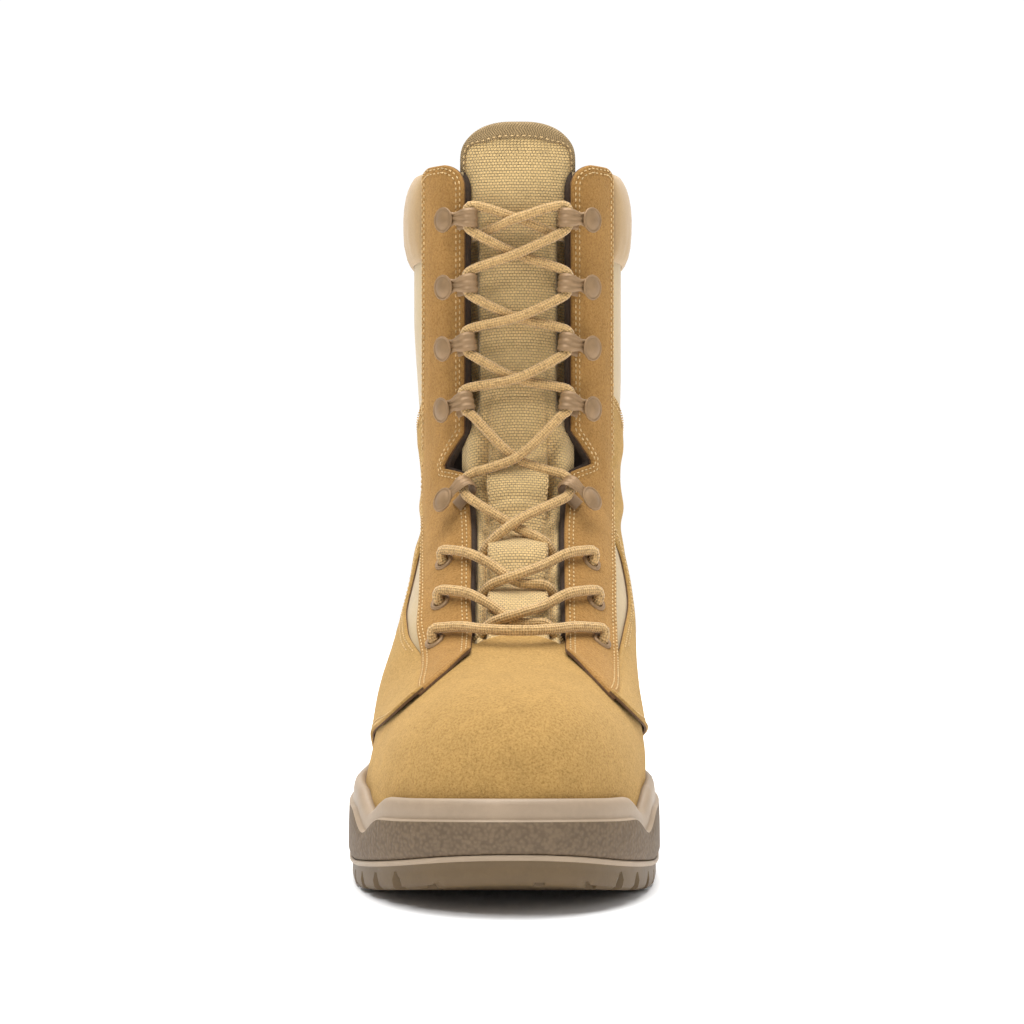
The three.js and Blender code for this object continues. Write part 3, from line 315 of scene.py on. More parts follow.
class Body:
    """Closed body put together from grids of points, in millimetres. A mark is a material's number."""

    def __init__(self):
        self.points, self.count, self.faces = [], 0, []

    def put(self, points):
        points = np.asarray(points, float)
        index = self.count + np.arange(points[..., 0].size).reshape(points.shape[:-1])
        self.points.append(points.reshape(-1, 3))
        self.count += index.size
        return index

    def skin(self, index, uv=None, wrap=False, mark=0, flip=False):
        if wrap:
            index = np.concatenate([index, index[:, :1]], 1)
        if uv is None:
            uv = np.zeros(index.shape + (2,))
        corners = [(slice(None, -1), slice(None, -1)), (slice(None, -1), slice(1, None)),
                   (slice(1, None), slice(1, None)), (slice(1, None), slice(None, -1))]
        quads = np.stack([index[c] for c in corners], -1).reshape(-1, 4)
        spots = np.stack([uv[c] for c in corners], -2).reshape(-1, 4, 2)
        if flip:
            quads, spots = quads[:, ::-1], spots[:, ::-1]
        self.faces.append((quads, spots, mark))

    def cap(self, ring, flip=False, mark=0, rise=0.0):
        """Closes a ring with a fan about its middle."""
        points = np.concatenate(self.points)[ring]
        centre = self.put(points.mean(0)[None] + rise)[0]
        following = np.roll(ring, -1)
        first, second = (following, ring) if flip else (ring, following)
        fan = np.stack([first, second, np.full(len(ring), centre)], -1)
        self.faces.append((fan, np.zeros((len(ring), 3, 2)), mark))

    def build(self, name, materials, sharp=40.0, merge=0.0):
        points = np.concatenate(self.points)
        volume = 0.0
        for corners, _, _ in self.faces:
            a = points[corners[:, 0]]
            for i in range(1, corners.shape[1] - 1):
                volume += np.einsum("ij,ij", a, np.cross(points[corners[:, i]], points[corners[:, i + 1]]))
        turned = volume < 0
        faces, spots, marks = [], [], []
        for corners, uv, mark in self.faces:
            if turned:
                corners, uv = corners[:, ::-1], uv[:, ::-1]
            faces += corners.tolist()
            spots.append(uv.reshape(-1, 2))
            marks += [mark] * len(corners)
        mesh = bpy.data.meshes.new(name)
        mesh.from_pydata(((points + SHIFT) * MM).tolist(), [], faces)
        layer = mesh.uv_layers.new(name="UVMap")
        layer.data.foreach_set("uv", (np.concatenate(spots) * MM).astype(np.float32).ravel())
        mesh.polygons.foreach_set("material_index", np.array(marks, np.int32))
        if merge:
            clean_mesh(mesh, merge)
        mesh.shade_smooth()
        mesh.set_sharp_from_angle(angle=math.radians(sharp))
        mesh.validate()
        piece = bpy.data.objects.new(name, mesh)
        bpy.context.scene.collection.objects.link(piece)
        for material in materials:
            mesh.materials.append(material)
        return piece


def clean_mesh(mesh, distance):
    """Joins points that lie together and drops the faces that this leaves with no area."""
    work = bmesh.new()
    work.from_mesh(mesh)
    bmesh.ops.remove_doubles(work, verts=work.verts, dist=distance * MM)
    bmesh.ops.dissolve_degenerate(work, edges=work.edges, dist=distance * MM * 0.5)
    work.to_mesh(mesh)
    work.free()


def rim_of(index):
    return np.concatenate([index[0], index[1:, -1], index[-1, -2::-1], index[-2:0:-1, 0]])


def plate(body, outer, inner, uv, marks=(0, 0, 0)):
    """Plate between two grids, with its rim closed. Marks are for its face, its back and its rim."""
    top, under = body.put(outer), body.put(inner)
    body.skin(top, uv, mark=marks[0])
    body.skin(under, uv, mark=marks[1], flip=True)
    spots = uv.reshape(-1, 2)
    edge = rim_of(np.arange(top.size).reshape(top.shape))
    edge_uv = spots[np.append(edge, edge[0])]
    rims = np.stack([rim_of(top), rim_of(under)])
    body.skin(rims, np.stack([edge_uv, edge_uv + [0.0, 1.0]]), True, marks[2], True)


def sleeve(grid, along):
    """Closed body round a row of closed sections, with capped ends and a pattern that runs along it."""
    step = np.linalg.norm(np.diff(np.concatenate([grid, grid[:, :1]], 1), axis=1), axis=2).mean(0)
    around = np.append(0, np.cumsum(step))
    uv = np.stack([np.repeat(along[:, None], len(around), 1), np.repeat(around[None], len(along), 0)], -1)
    body = Body()
    index = body.put(grid)
    body.skin(index, uv, True)
    body.cap(index[0], flip=True)
    body.cap(index[-1])
    return body


EDGE_STEPS = np.array([0, 0.25, 0.6, 1.0, 1.5, 2.0, 2.5, 3.0, 3.6, 4.4])


def spread(length, step, most):
    """Distances along a stretch, close together near both ends."""
    edge = EDGE_STEPS * min(1.0, length / (2 * EDGE_STEPS[-1] + 3))
    count = max(2, int((most - 2 * EDGE_STEPS[-1]) / step))
    middle = np.linspace(edge[-1], length - edge[-1], count + 1)[1:-1]
    return np.concatenate([edge, middle, (length - edge)[::-1]])


class Panel:
    """Patch of the last's surface: rows of stations between two edges given as turns."""

    def __init__(self, first, last, edges, step=1.5, offset=1.5, samples=56, lean=None):
        probe = np.linspace(first, last, 300)
        a, b = edges(probe)
        path = skin_out(probe, (a + b) / 2, offset)
        run = np.append(0, np.cumsum(np.linalg.norm(np.diff(path, axis=0), axis=1)))
        stations = np.interp(spread(run[-1], step, run[-1]), run, probe)
        a, b = edges(stations)
        share = np.linspace(0, 1, samples)
        turns = a[:, None] + (b - a)[:, None] * share
        points = skin_out(np.repeat(stations[:, None], samples, 1), turns, offset)
        runs = np.concatenate([np.zeros((len(stations), 1)),
                               np.cumsum(np.linalg.norm(np.diff(points, axis=1), axis=2), 1)], 1)
        widest = runs[:, -1].max()
        self.across = np.stack([spread(r[-1], step, widest) for r in runs])
        self.turn = np.stack([np.interp(p, r, t) for p, r, t in zip(self.across, runs, turns)])
        self.row = np.repeat(stations[:, None], self.turn.shape[1], 1)
        self.station = self.row + (lean(self.turn, self.row) if lean else 0)
        down = np.interp(stations, probe, run)
        self.uv = np.stack([self.across, np.repeat(down[:, None], self.turn.shape[1], 1)], -1)
        self.offset = offset
        self.rim_distance()

    def rim_distance(self):
        points = skin_out(self.station, self.turn, self.offset)
        edge = points.reshape(-1, 3)[rim_of(np.arange(points[..., 0].size).reshape(points.shape[:2]))]
        tree = KDTree(len(edge) * 6)
        closed = np.concatenate([edge, edge[:1]])
        k = 0
        for t in np.linspace(0, 1, 6, endpoint=False):
            for p in closed[:-1] * (1 - t) + closed[1:] * t:
                tree.insert(p, k)
                k += 1
        tree.balance()
        self.tree = tree
        flat = points.reshape(-1, 3)
        self.inside = np.array([tree.find(p)[2] for p in flat]).reshape(points.shape[:2])

    def rim(self, part="all"):
        """(station, turn) along the rim, or along one side of it."""
        rows, columns = self.turn.shape
        grid = np.arange(rows * columns).reshape(rows, columns)
        where = {"all": rim_of(grid), "first": grid[:, 0], "last": grid[:, -1],
                 "low": grid[0], "high": grid[-1]}[part]
        return self.station.ravel()[where], self.turn.ravel()[where]


def roll(inside, radius):
    """How far a rolled edge drops, by the distance inside it."""
    t = np.clip(1 - inside / radius, 0, 1)
    return radius * (1 - np.sqrt(np.maximum(1 - t * t, 0)))


def stitch_dips(inside, rows, depth=0.22, width=0.5):
    return depth * sum(bump(inside, row, width) for row in rows)


def above_board(points, lift):
    """Points kept over the board that the foot rests on."""
    points[..., 2] = np.maximum(points[..., 2], platform(points[..., 1]) + lift)
    return points


def along_edge(station, turn, inward, offset):
    """Line on the surface at a distance in from an edge: its points and normals."""
    point, normal, up, around = skin_frame(station, turn)
    tangent = unit(np.gradient(point, axis=0))
    move = np.cross(normal, tangent) * np.asarray(inward, float)[..., None]
    g11, g12, g22 = (up * up).sum(-1), (up * around).sum(-1), (around * around).sum(-1)
    b1, b2 = (move * up).sum(-1), (move * around).sum(-1)
    det = np.maximum(g11 * g22 - g12 * g12, 1e-9)
    s = np.clip(station + (g22 * b1 - g12 * b2) / det, 0, LAST_STATION)
    t = turn + (g11 * b2 - g12 * b1) / det
    moved, out, _, _ = skin_frame(s, t)
    return moved + out * np.asarray(offset, float)[..., None], out


SEAMS = []


def seam(panel, part, inward, offset, keep=None):
    """Notes a line of stitches beside an edge of a panel, drawn on its surface."""
    station, turn = panel.rim(part)
    inner = {"first": (slice(None), 4), "last": (slice(None), -5), "low": (4,), "high": (-5,)}[part]
    spot = skin(station, turn)
    trial, _ = along_edge(station, turn, 1.0, 0.0)
    within = skin(panel.station[inner], panel.turn[inner])
    sign = 1 if ((trial - spot) * (within - spot)).sum() > 0 else -1
    points, normals = along_edge(station, turn, sign * inward, offset)
    far = np.array([panel.tree.find(p)[2] for p in points])
    good = far > inward - 0.25
    if keep is not None:
        good &= keep(points)
    note_seam(points, normals, good)


def note_seam(points, normals, good=None):
    good = np.ones(len(points), bool) if good is None else good
    start = None
    for i in range(len(points) + 1):
        if i < len(points) and good[i]:
            start = i if start is None else start
        elif start is not None:
            if i - start > 3:
                SEAMS.append((points[start:i], normals[start:i]))
            start = None


def tube(body, path, radius, sides):
    """Round cord along a path of points, with rounded closed ends."""
    path = np.asarray(path, float)
    tangent = unit(np.gradient(path, axis=0))
    side = unit(np.cross([0.0, 0.0, 1.0], tangent[0]))
    sides_of, run = [side], [0.0]
    for i in range(1, len(path)):
        side = sides_of[-1] - tangent[i] * (sides_of[-1] @ tangent[i])
        sides_of.append(unit(side))
        run.append(run[-1] + np.linalg.norm(path[i] - path[i - 1]))
    across = np.array(sides_of)
    over = np.cross(tangent, across)
    run = np.array(run)
    end = np.minimum(run, run[-1] - run)
    size = radius * np.sqrt(np.clip(1 - (1 - np.clip(end / radius, 0, 1)) ** 2, 0.02, 1))
    angle = 2 * np.pi * np.arange(sides) / sides
    ring = across[:, None] * np.cos(angle)[None, :, None] + over[:, None] * np.sin(angle)[None, :, None]
    grid = path[:, None] + ring * size[:, None, None]
    u = np.repeat(run[:, None], sides + 1, 1)
    v = np.repeat((np.arange(sides + 1) / sides * 2 * np.pi * radius)[None], len(path), 0)
    index = body.put(grid)
    body.skin(index, np.stack([u, v], -1), True)
    body.cap(index[0], flip=True)
    body.cap(index[-1])


def smooth_path(points, step=1.3):
    """Even points along a centripetal curve through the given ones."""
    points = np.asarray(points, float)
    ends = [2 * points[0] - points[1], *points, 2 * points[-1] - points[-2]]
    p = np.array(ends)
    out = []
    for i in range(1, len(p) - 2):
        p0, p1, p2, p3 = p[i - 1:i + 3]
        t0 = 0.0
        t1 = t0 + max(np.linalg.norm(p1 - p0), 1e-4) ** 0.5
        t2 = t1 + max(np.linalg.norm(p2 - p1), 1e-4) ** 0.5
        t3 = t2 + max(np.linalg.norm(p3 - p2), 1e-4) ** 0.5
        t = np.linspace(t1, t2, 24, endpoint=False)[:, None]
        a1 = (t1 - t) / (t1 - t0) * p0 + (t - t0) / (t1 - t0) * p1
        a2 = (t2 - t) / (t2 - t1) * p1 + (t - t1) / (t2 - t1) * p2
        a3 = (t3 - t) / (t3 - t2) * p2 + (t - t2) / (t3 - t2) * p3
        b1 = (t2 - t) / (t2 - t0) * a1 + (t - t0) / (t2 - t0) * a2
        b2 = (t3 - t) / (t3 - t1) * a2 + (t - t1) / (t3 - t1) * a3
        out.append((t2 - t) / (t2 - t1) * b1 + (t - t1) / (t2 - t1) * b2)
    line = np.concatenate(out + [points[-1:]])
    run = np.append(0, np.cumsum(np.linalg.norm(np.diff(line, axis=0), axis=1)))
    even = np.linspace(0, run[-1], int(run[-1] / step) + 2)
    return np.stack([np.interp(even, run, line[:, k]) for k in range(3)], -1)


def lathe(body, outline, centre, axis, sides=28):
    """Closed body turned about an axis, from (radius, height) pairs that start and end apart."""
    axis = unit(np.asarray(axis, float))
    helper = np.array([1.0, 0, 0]) if abs(axis[0]) < 0.8 else np.array([0, 1.0, 0])
    x = unit(np.cross(helper, axis))
    y = np.cross(axis, x)
    angle = 2 * np.pi * np.arange(sides) / sides
    ring = np.cos(angle)[:, None] * x + np.sin(angle)[:, None] * y
    outline = np.asarray(outline, float)
    grid = centre + outline[:, 0][:, None, None] * ring[None] + (outline[:, 1][:, None] * axis)[:, None]
    return body.put(grid)


# ---- Materials

def linear(hex_colour):
    """sRGB hex to the linear colour that Blender's sockets take."""
    values = [int(hex_colour[i:i + 2], 16) / 255 for i in (1, 3, 5)]
    return (*[v / 12.92 if v <= 0.04045 else ((v + 0.055) / 1.055) ** 2.4 for v in values], 1.0)


def add(tree, kind, sockets=None, **settings):
    """Adds a node with its settings, its sockets' values and its links."""
    node = tree.nodes.new(kind)
    for key, value in settings.items():
        setattr(node, key, value)
    for key, value in (sockets or {}).items():
        if isinstance(value, bpy.types.NodeSocket):
            tree.links.new(value, node.inputs[key])
        else:
            node.inputs[key].default_value = value
    return node


def per(size_mm):
    """Pattern scale that gives a repeat of that many millimetres, on coordinates in metres."""
    return 1 / (size_mm * MM)


def new_material(name, **values):
    """Material with its shader's fixed values. Gives its tree, its shader and the texture coordinates."""
    material = bpy.data.materials.new(name)
    material.use_nodes = True
    tree = material.node_tree
    tree.nodes.clear()
    output = add(tree, "ShaderNodeOutputMaterial")
    shader = add(tree, "ShaderNodeBsdfPrincipled",
                 {key.replace("_", " "): value for key, value in values.items()})
    tree.links.new(shader.outputs[0], output.inputs[0])
    at = add(tree, "ShaderNodeTexCoord")
    return material, tree, shader, at.outputs["Object"], at.outputs["UV"]


def noise(tree, vector, size_mm, detail=3.0, rough=0.6):
    return add(tree, "ShaderNodeTexNoise", {"Vector": vector, "Scale": per(size_mm), "Detail": detail,
                                            "Roughness": rough}).outputs["Fac"]


def ramp(tree, factor, stops):
    node = add(tree, "ShaderNodeValToRGB", {"Fac": factor})
    elements = node.color_ramp.elements
    while len(elements) < len(stops):
        elements.new(0.5)
    for element, (place, colour) in zip(elements, stops):
        element.position = place
        element.color = colour
    return node.outputs["Color"]


def mix(tree, factor, a, b, blend="MIX"):
    return add(tree, "ShaderNodeMix", {0: factor, 6: a, 7: b}, data_type="RGBA", blend_type=blend).outputs[2]


def toned(tree, tone, share, value, *stops):
    """A tone multiplied by tints that follow a value. Each stop is a place with a grey or a tint."""
    tints = [(place, (*(tint if isinstance(tint, tuple) else (tint,) * 3), 1.0)) for place, tint in stops]
    return mix(tree, share, tone, ramp(tree, value, tints), "MULTIPLY")


def calc(tree, operation, a, b=0.0, c=0.0):
    return add(tree, "ShaderNodeMath", {0: a, 1: b, 2: c}, operation=operation).outputs[0]


def relief(tree, shader, heights):
    """Chains bumps, each a height with its depth in millimetres."""
    normal = None
    for value, depth in heights:
        node = add(tree, "ShaderNodeBump", {"Height": value, "Strength": 1.0, "Distance": depth * MM})
        if normal is not None:
            tree.links.new(normal, node.inputs["Normal"])
        normal = node.outputs["Normal"]
    tree.links.new(normal, shader.inputs["Normal"])


def shade(colour, share):
    return tuple(c * share for c in colour[:3]) + (1.0,)


def suede_material(name, colour):
    # Split cowhide suede, brushed: short matt fibres that lie different ways in soft clouds, so the
    # tone shifts in patches of a few millimetres and the edges of a form look pale and soft. Real fibres
    # are about 0.1 mm wide, too fine to show in the render, so they are drawn at 0.45 and 0.85 mm.
    material, tree, shader, spot, _ = new_material(
        name, Roughness=0.95, Specular_IOR_Level=0.2, Sheen_Weight=0.25, Sheen_Roughness=0.5,
        Sheen_Tint=linear("#eccb92"))
    clouds = noise(tree, spot, 9.0, 4.0, 0.62)
    nap = noise(tree, spot, 0.85, 3.0, 0.7)
    fibre = noise(tree, spot, 0.45, 2.0, 0.7)
    tone = ramp(tree, clouds, [(0.32, shade(colour, 0.93)), (0.5, colour), (0.68, shade(colour, 1.06))])
    tone = toned(tree, tone, 0.75, nap, (0.3, (0.55, 0.5, 0.43)), (0.5, 0.99), (0.7, (1.28, 1.3, 1.34)))
    tree.links.new(tone, shader.inputs["Base Color"])
    relief(tree, shader, [(clouds, 0.5), (nap, 0.28), (fibre, 0.1)])
    return material


def weave_material(name, colour, pitch):
    # Plain-woven nylon, coarse yarn: rows of rounded picks, each row offset by half, with small
    # holes where four yarns meet, darkened with painted shade. The rows' spacing is a setting, close to what
    # the tongue shows.
    material, tree, shader, spot, woven = new_material(
        name, Roughness=0.8, Specular_IOR_Level=0.3, Sheen_Weight=0.2)
    brick = add(tree, "ShaderNodeTexBrick", {
        "Vector": woven, "Color1": (1, 1, 1, 1), "Color2": (0.9, 0.9, 0.9, 1), "Mortar": (0, 0, 0, 1),
        "Scale": 1.0, "Mortar Size": 0.13 * pitch * MM, "Mortar Smooth": 1.0, "Brick Width": 1.2 * pitch * MM,
        "Row Height": pitch * MM})
    clouds = noise(tree, spot, 14.0, 3.0)
    tone = ramp(tree, clouds, [(0.3, shade(colour, 0.9)), (0.7, shade(colour, 1.08))])
    # The holes between the yarns get half the yarn's tone: painted shade.
    yarn_with_hole_shade = mix(tree, brick.outputs["Fac"], tone, shade(colour, 0.5))
    slub = noise(tree, spot, 0.9, 2.0)
    yarn_with_hole_shade = toned(tree, yarn_with_hole_shade, 0.5, slub, (0.35, (0.72, 0.72, 0.7)), (0.65, 1.15))
    tree.links.new(yarn_with_hole_shade, shader.inputs["Base Color"])
    round_yarn = calc(tree, "SUBTRACT", 1.0, brick.outputs["Fac"])
    relief(tree, shader, [(clouds, 0.4), (round_yarn, 0.4)])
    return material


def fabric_material(name, colour):
    # Close-woven coated nylon over foam: fine even yarn and a soft half-matt face. The yarn is about
    # 0.3 mm wide, too fine to show, so it is drawn at 0.7 mm.
    material, tree, shader, spot, _ = new_material(
        name, Roughness=0.62, Specular_IOR_Level=0.35, Sheen_Weight=0.15)
    clouds = noise(tree, spot, 18.0, 3.0)
    grain = noise(tree, spot, 0.7, 2.0)
    tone = ramp(tree, clouds, [(0.3, shade(colour, 0.95)), (0.7, shade(colour, 1.05))])
    tone = toned(tree, tone, 0.5, grain, (0.3, 0.86), (0.7, 1.08))
    tree.links.new(tone, shader.inputs["Base Color"])
    relief(tree, shader, [(clouds, 0.6), (grain, 0.1)])
    return material


def tape_material(name, colour):
    # Cotton herringbone tape: fine ribs that run at a slant and turn back every 1.6 mm. Real ribs lie
    # about 0.8 mm apart, and are drawn 1.15 mm apart so that they show.
    material, tree, shader, spot, woven = new_material(name, Roughness=0.85)
    parts = add(tree, "ShaderNodeSeparateXYZ", {0: woven})
    along, across = parts.outputs[0], parts.outputs[1]
    zigzag = calc(tree, "PINGPONG", across, 1.6 * MM)
    phase = calc(tree, "MULTIPLY", calc(tree, "ADD", along, zigzag), 2 * math.pi * per(1.15))
    rib = calc(tree, "MULTIPLY_ADD", calc(tree, "SINE", phase), 0.5, 0.5)
    grain = noise(tree, spot, 0.6, 2.0)
    # The tone follows the rib: painted shade in its troughs and painted highlight on its crests.
    tone = ramp(tree, rib, [(0.15, shade(colour, 0.62)), (0.55, colour), (0.9, shade(colour, 1.18))])
    tone = toned(tree, tone, 0.4, grain, (0.3, 0.8), (0.7, 1.1))
    tree.links.new(tone, shader.inputs["Base Color"])
    relief(tree, shader, [(rib, 0.3), (grain, 0.1)])
    return material


def braid_material(name, colour):
    # Round braided polyester lace, 4 mm thick: strands cross in diamonds 1.9 mm long, six round the
    # lace, with painted shade between them and painted highlight on their crowns, and darker flecks at random.
    material, tree, shader, spot, braid = new_material(name, Roughness=0.78, Sheen_Weight=0.2)
    parts = add(tree, "ShaderNodeSeparateXYZ", {0: braid})
    along = calc(tree, "MULTIPLY", parts.outputs[0], 2 * math.pi * per(1.9))
    around = calc(tree, "MULTIPLY", parts.outputs[1], 2 * math.pi * per(2 * math.pi * 2.1 / 6))
    left, right = (calc(tree, "SINE", calc(tree, way, along, around)) for way in ("ADD", "SUBTRACT"))
    diamond = calc(tree, "MULTIPLY_ADD", calc(tree, "MULTIPLY", left, right), 0.5, 0.5)
    fleck = noise(tree, spot, 1.0, 2.0, 0.7)
    # Tone by the diamond: painted shade where the strands meet, painted highlight on their crowns.
    tone = ramp(tree, diamond, [(0.2, shade(colour, 0.74)), (0.5, colour), (0.85, shade(colour, 1.16))])
    tone = toned(tree, tone, 0.8, fleck, (0.36, (0.6, 0.57, 0.5)), (0.5, 1.0), (0.66, (1.15, 1.15, 1.18)))
    tree.links.new(tone, shader.inputs["Base Color"])
    relief(tree, shader, [(diamond, 0.35), (fleck, 0.12)])
    return material


def moulded_material(name, colour, roughness, scuff=0.12, pebble=0.0):
    # Moulded polyurethane or rubber: the mould's pebbled or satin face, with faint rubbed patches. The
    # mould's own grain of about 0.2 mm is too fine to show, so it is drawn at 0.8 mm.
    material, tree, shader, spot, _ = new_material(name, Roughness=roughness, Specular_IOR_Level=0.4)
    clouds = noise(tree, spot, 22.0, 4.0)
    grain = noise(tree, spot, 0.8, 2.0)
    tone = ramp(tree, clouds, [(0.3, shade(colour, 0.92)), (0.7, shade(colour, 1.07))])
    if pebble:
        cells = add(tree, "ShaderNodeTexVoronoi", {"Vector": spot, "Scale": per(pebble)},
                    feature="SMOOTH_F1").outputs["Distance"]
        # Pebbles paler at their middles as painted highlight and darker towards the gaps between them as
        # painted shade.
        tone = toned(tree, tone, 0.8, cells, (0.25, 1.14), (0.6, (0.72, 0.7, 0.68)))
        domes = calc(tree, "SUBTRACT", 1.0, cells)
        relief(tree, shader, [(domes, 0.35), (grain, 0.05)])
    else:
        relief(tree, shader, [(clouds, 0.3), (grain, 0.06)])
    rubbed = ramp(tree, noise(tree, spot, 5.0, 5.0, 0.75), [(0.45, colour), (0.75, shade(colour, 1.9))])
    tree.links.new(mix(tree, scuff, tone, rubbed), shader.inputs["Base Color"])
    return material


def metal_material(name, colour):
    # Steel speed hook under matt taupe enamel: an even satin coat, its tone and roughness drifting in soft
    # random clouds.
    material, tree, shader, spot, _ = new_material(name, Metallic=0.35)
    clouds = noise(tree, spot, 3.5, 4.0)
    grain = noise(tree, spot, 0.5, 2.0)
    tone = ramp(tree, clouds, [(0.3, shade(colour, 0.86)), (0.7, shade(colour, 1.12))])
    tree.links.new(tone, shader.inputs["Base Color"])
    tree.links.new(calc(tree, "MULTIPLY_ADD", clouds, 0.2, 0.4), shader.inputs["Roughness"])
    relief(tree, shader, [(grain, 0.03)])
    return material


def lining_material(name, colour):
    # Brushed textile or thread: the lining, its colour darkened with painted shade where it shows in the gaps
    # behind the stays, cut edges, sewing thread.
    # Its fibres are too fine to show, so they are drawn at 1.2 mm.
    material, tree, shader, spot, _ = new_material(name, Roughness=0.95)
    grain = noise(tree, spot, 1.2, 3.0)
    tone = ramp(tree, grain, [(0.3, shade(colour, 0.7)), (0.7, shade(colour, 1.3))])
    tree.links.new(tone, shader.inputs["Base Color"])
    relief(tree, shader, [(grain, 0.2)])
    return material


# ---- Settings that a user may change

class BootSizes(bpy.types.PropertyGroup):
    lace_diameter: FloatProperty(name="Lace diameter", description="Thickness of the round lace",
                                 default=3.9 * MM, min=2 * MM, max=6 * MM, unit="LENGTH")
    stitch_pitch: FloatProperty(name="Stitch pitch", description="Distance from one stitch to the next",
                                default=2.3 * MM, min=1.5 * MM, max=5 * MM, unit="LENGTH")
    stitch_length: FloatProperty(name="Stitch length", description="Length of the thread that shows",
                                 default=1.55 * MM, min=MM, max=4 * MM, unit="LENGTH")
    thread_width: FloatProperty(name="Thread width", description="Thickness of the sewing thread",
                                default=0.6 * MM, min=0.3 * MM, max=1.5 * MM, unit="LENGTH")
    weave_pitch: FloatProperty(name="Weave pitch", description="Height of one row of the tongue's weave",
                               default=1.12 * MM, min=0.4 * MM, max=3 * MM, unit="LENGTH")
    pebble_size: FloatProperty(name="Pebble size", description="Width of one pebble on the midsole's band",
                               default=1.3 * MM, min=0.5 * MM, max=5 * MM, unit="LENGTH")


def colour_property(name, description, hex_colour):
    return FloatVectorProperty(name=name, description=description, default=linear(hex_colour), size=4,
                               min=0.0, max=1.0, subtype="COLOR")


class BootColours(bpy.types.PropertyGroup):
    suede: colour_property("Suede", "Suede of the vamp and quarters", "#a17f49")
    stay_suede: colour_property("Stay suede", "Suede of the lace stays", "#966f3c")
    nylon: colour_property("Nylon", "Woven nylon of the tongue", "#d3b37a")
    shaft: colour_property("Shaft nylon", "Smooth nylon of the shaft and windows", "#b39c74")
    padding: colour_property("Collar", "Cover of the padded collar", "#ad9067")
    tape: colour_property("Binding", "Herringbone tape on the tongue", "#9c8259")
    lace: colour_property("Lace", "Braided lace", "#be9a63")
    thread: colour_property("Thread", "Sewing thread", "#c9ab7a")
    foam: colour_property("Midsole", "Pebbled band of the midsole", "#64533f")
    rand: colour_property("Rand", "Smooth lip of the midsole", "#95826c")
    rubber: colour_property("Outsole", "Rubber of the outsole", "#5b482d")
    hardware: colour_property("Hardware", "Enamel of hooks and eyelets", "#8d7150")
    # The cut edge's own darker brown, deepened with painted shade for the shadow under the lifted edges of
    # stays, quarters and counter.
    cut_edge_with_shade: colour_property("Cut edge", "Dyed cut edges of the suede", "#5b4128")
    # The lining's own brown, darkened with painted shade so the gaps behind the stays and inside the boot look
    # near black; the footbed takes this colour at 1.7 times.
    lining: colour_property("Lining", "Lining and footbed", "#35271b")


def sizes():
    return bpy.context.scene.boot_sizes


def colours():
    return bpy.context.scene.boot_colours


MADE = {}


def finish(name):
    """The material of one finish, made once."""
    if name not in MADE:
        c = colours()
        makers = {
            "suede": lambda: suede_material("brushed_suede", tuple(c.suede)),
            "stay": lambda: suede_material("brushed_suede_of_stays", tuple(c.stay_suede)),
            "weave": lambda: weave_material("plain_woven_nylon", tuple(c.nylon), sizes().weave_pitch / MM),
            "shaft": lambda: fabric_material("smooth_woven_nylon", tuple(c.shaft)),
            "padding": lambda: fabric_material("padded_cover_fabric", tuple(c.padding)),
            "tape": lambda: tape_material("herringbone_tape", tuple(c.tape)),
            "lace": lambda: braid_material("braided_polyester", tuple(c.lace)),
            "thread": lambda: lining_material("bonded_sewing_thread", tuple(c.thread)),
            "foam": lambda: moulded_material("pebbled_polyurethane", tuple(c.foam), 0.7,
                                             pebble=sizes().pebble_size / MM),
            "rand": lambda: moulded_material("smooth_polyurethane", tuple(c.rand), 0.5),
            "rubber": lambda: moulded_material("moulded_rubber", tuple(c.rubber), 0.55, 0.16),
            "hardware": lambda: metal_material("enamelled_steel", tuple(c.hardware)),
            "lining": lambda: lining_material("brushed_lining_with_painted_shade", tuple(c.lining)),
            # Rims of the suede panels: their own darker edge tone plus painted shade.
            "edge": lambda: lining_material("cut_suede_edge_with_shade", tuple(c.cut_edge_with_shade)),
            "footbed": lambda: lining_material("footbed_cloth", shade(tuple(c.lining), 1.7)),
        }
        MADE[name] = makers[name]()
    return MADE[name]


def settle(piece, nodes=()):
    """Puts a finished piece on the boot's one body."""
    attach(piece, "root")
    if nodes:
        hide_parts(*nodes)
    return piece


# ---- Sole

def outline_shares(step):
    """Shares along the sole that space points evenly round its outline."""
    t = np.linspace(0, 1, 4001)
    share = np.sin(np.pi * t / 2) ** 2
    y = share * SOLE_LENGTH
    x = (sole_half(LATERAL, y) + sole_half(MEDIAL, y)) / 2
    run = np.append(0, np.cumsum(np.hypot(np.diff(x), np.diff(y))))
    return np.interp(np.linspace(0, run[-1], int(run[-1] / step) + 1), run, share)


def side_grid(side, shares, steps):
    columns = []
    for inset, z in steps:
        y = inset + shares * (SOLE_LENGTH - 2 * inset)
        columns.append(np.stack([side * sole_half(side, y, inset), y, z(y)], -1))
    return np.stack(columns, 1)


def lay_half(body, side, shares, steps, marks):
    """One half of a sole's layer, from its steps of inset and height. Marks are for the strips between."""
    grid = side_grid(side, shares, steps)
    index = body.put(grid)
    run = np.repeat((shares * SOLE_LENGTH)[:, None], len(steps), 1)
    uv = np.stack([run, grid[..., 2]], -1)
    for column, mark in enumerate(marks):
        body.skin(index[:, column:column + 2], uv[:, column:column + 2], mark=mark, flip=side == MEDIAL)
    return grid


def between(sides, column, count):
    """Grid across a layer, from one half's line of points to the other's."""
    share = np.linspace(0, 1, count)[None, :, None]
    return sides[LATERAL][:, column][:, None] * (1 - share) + sides[MEDIAL][:, column][:, None] * share


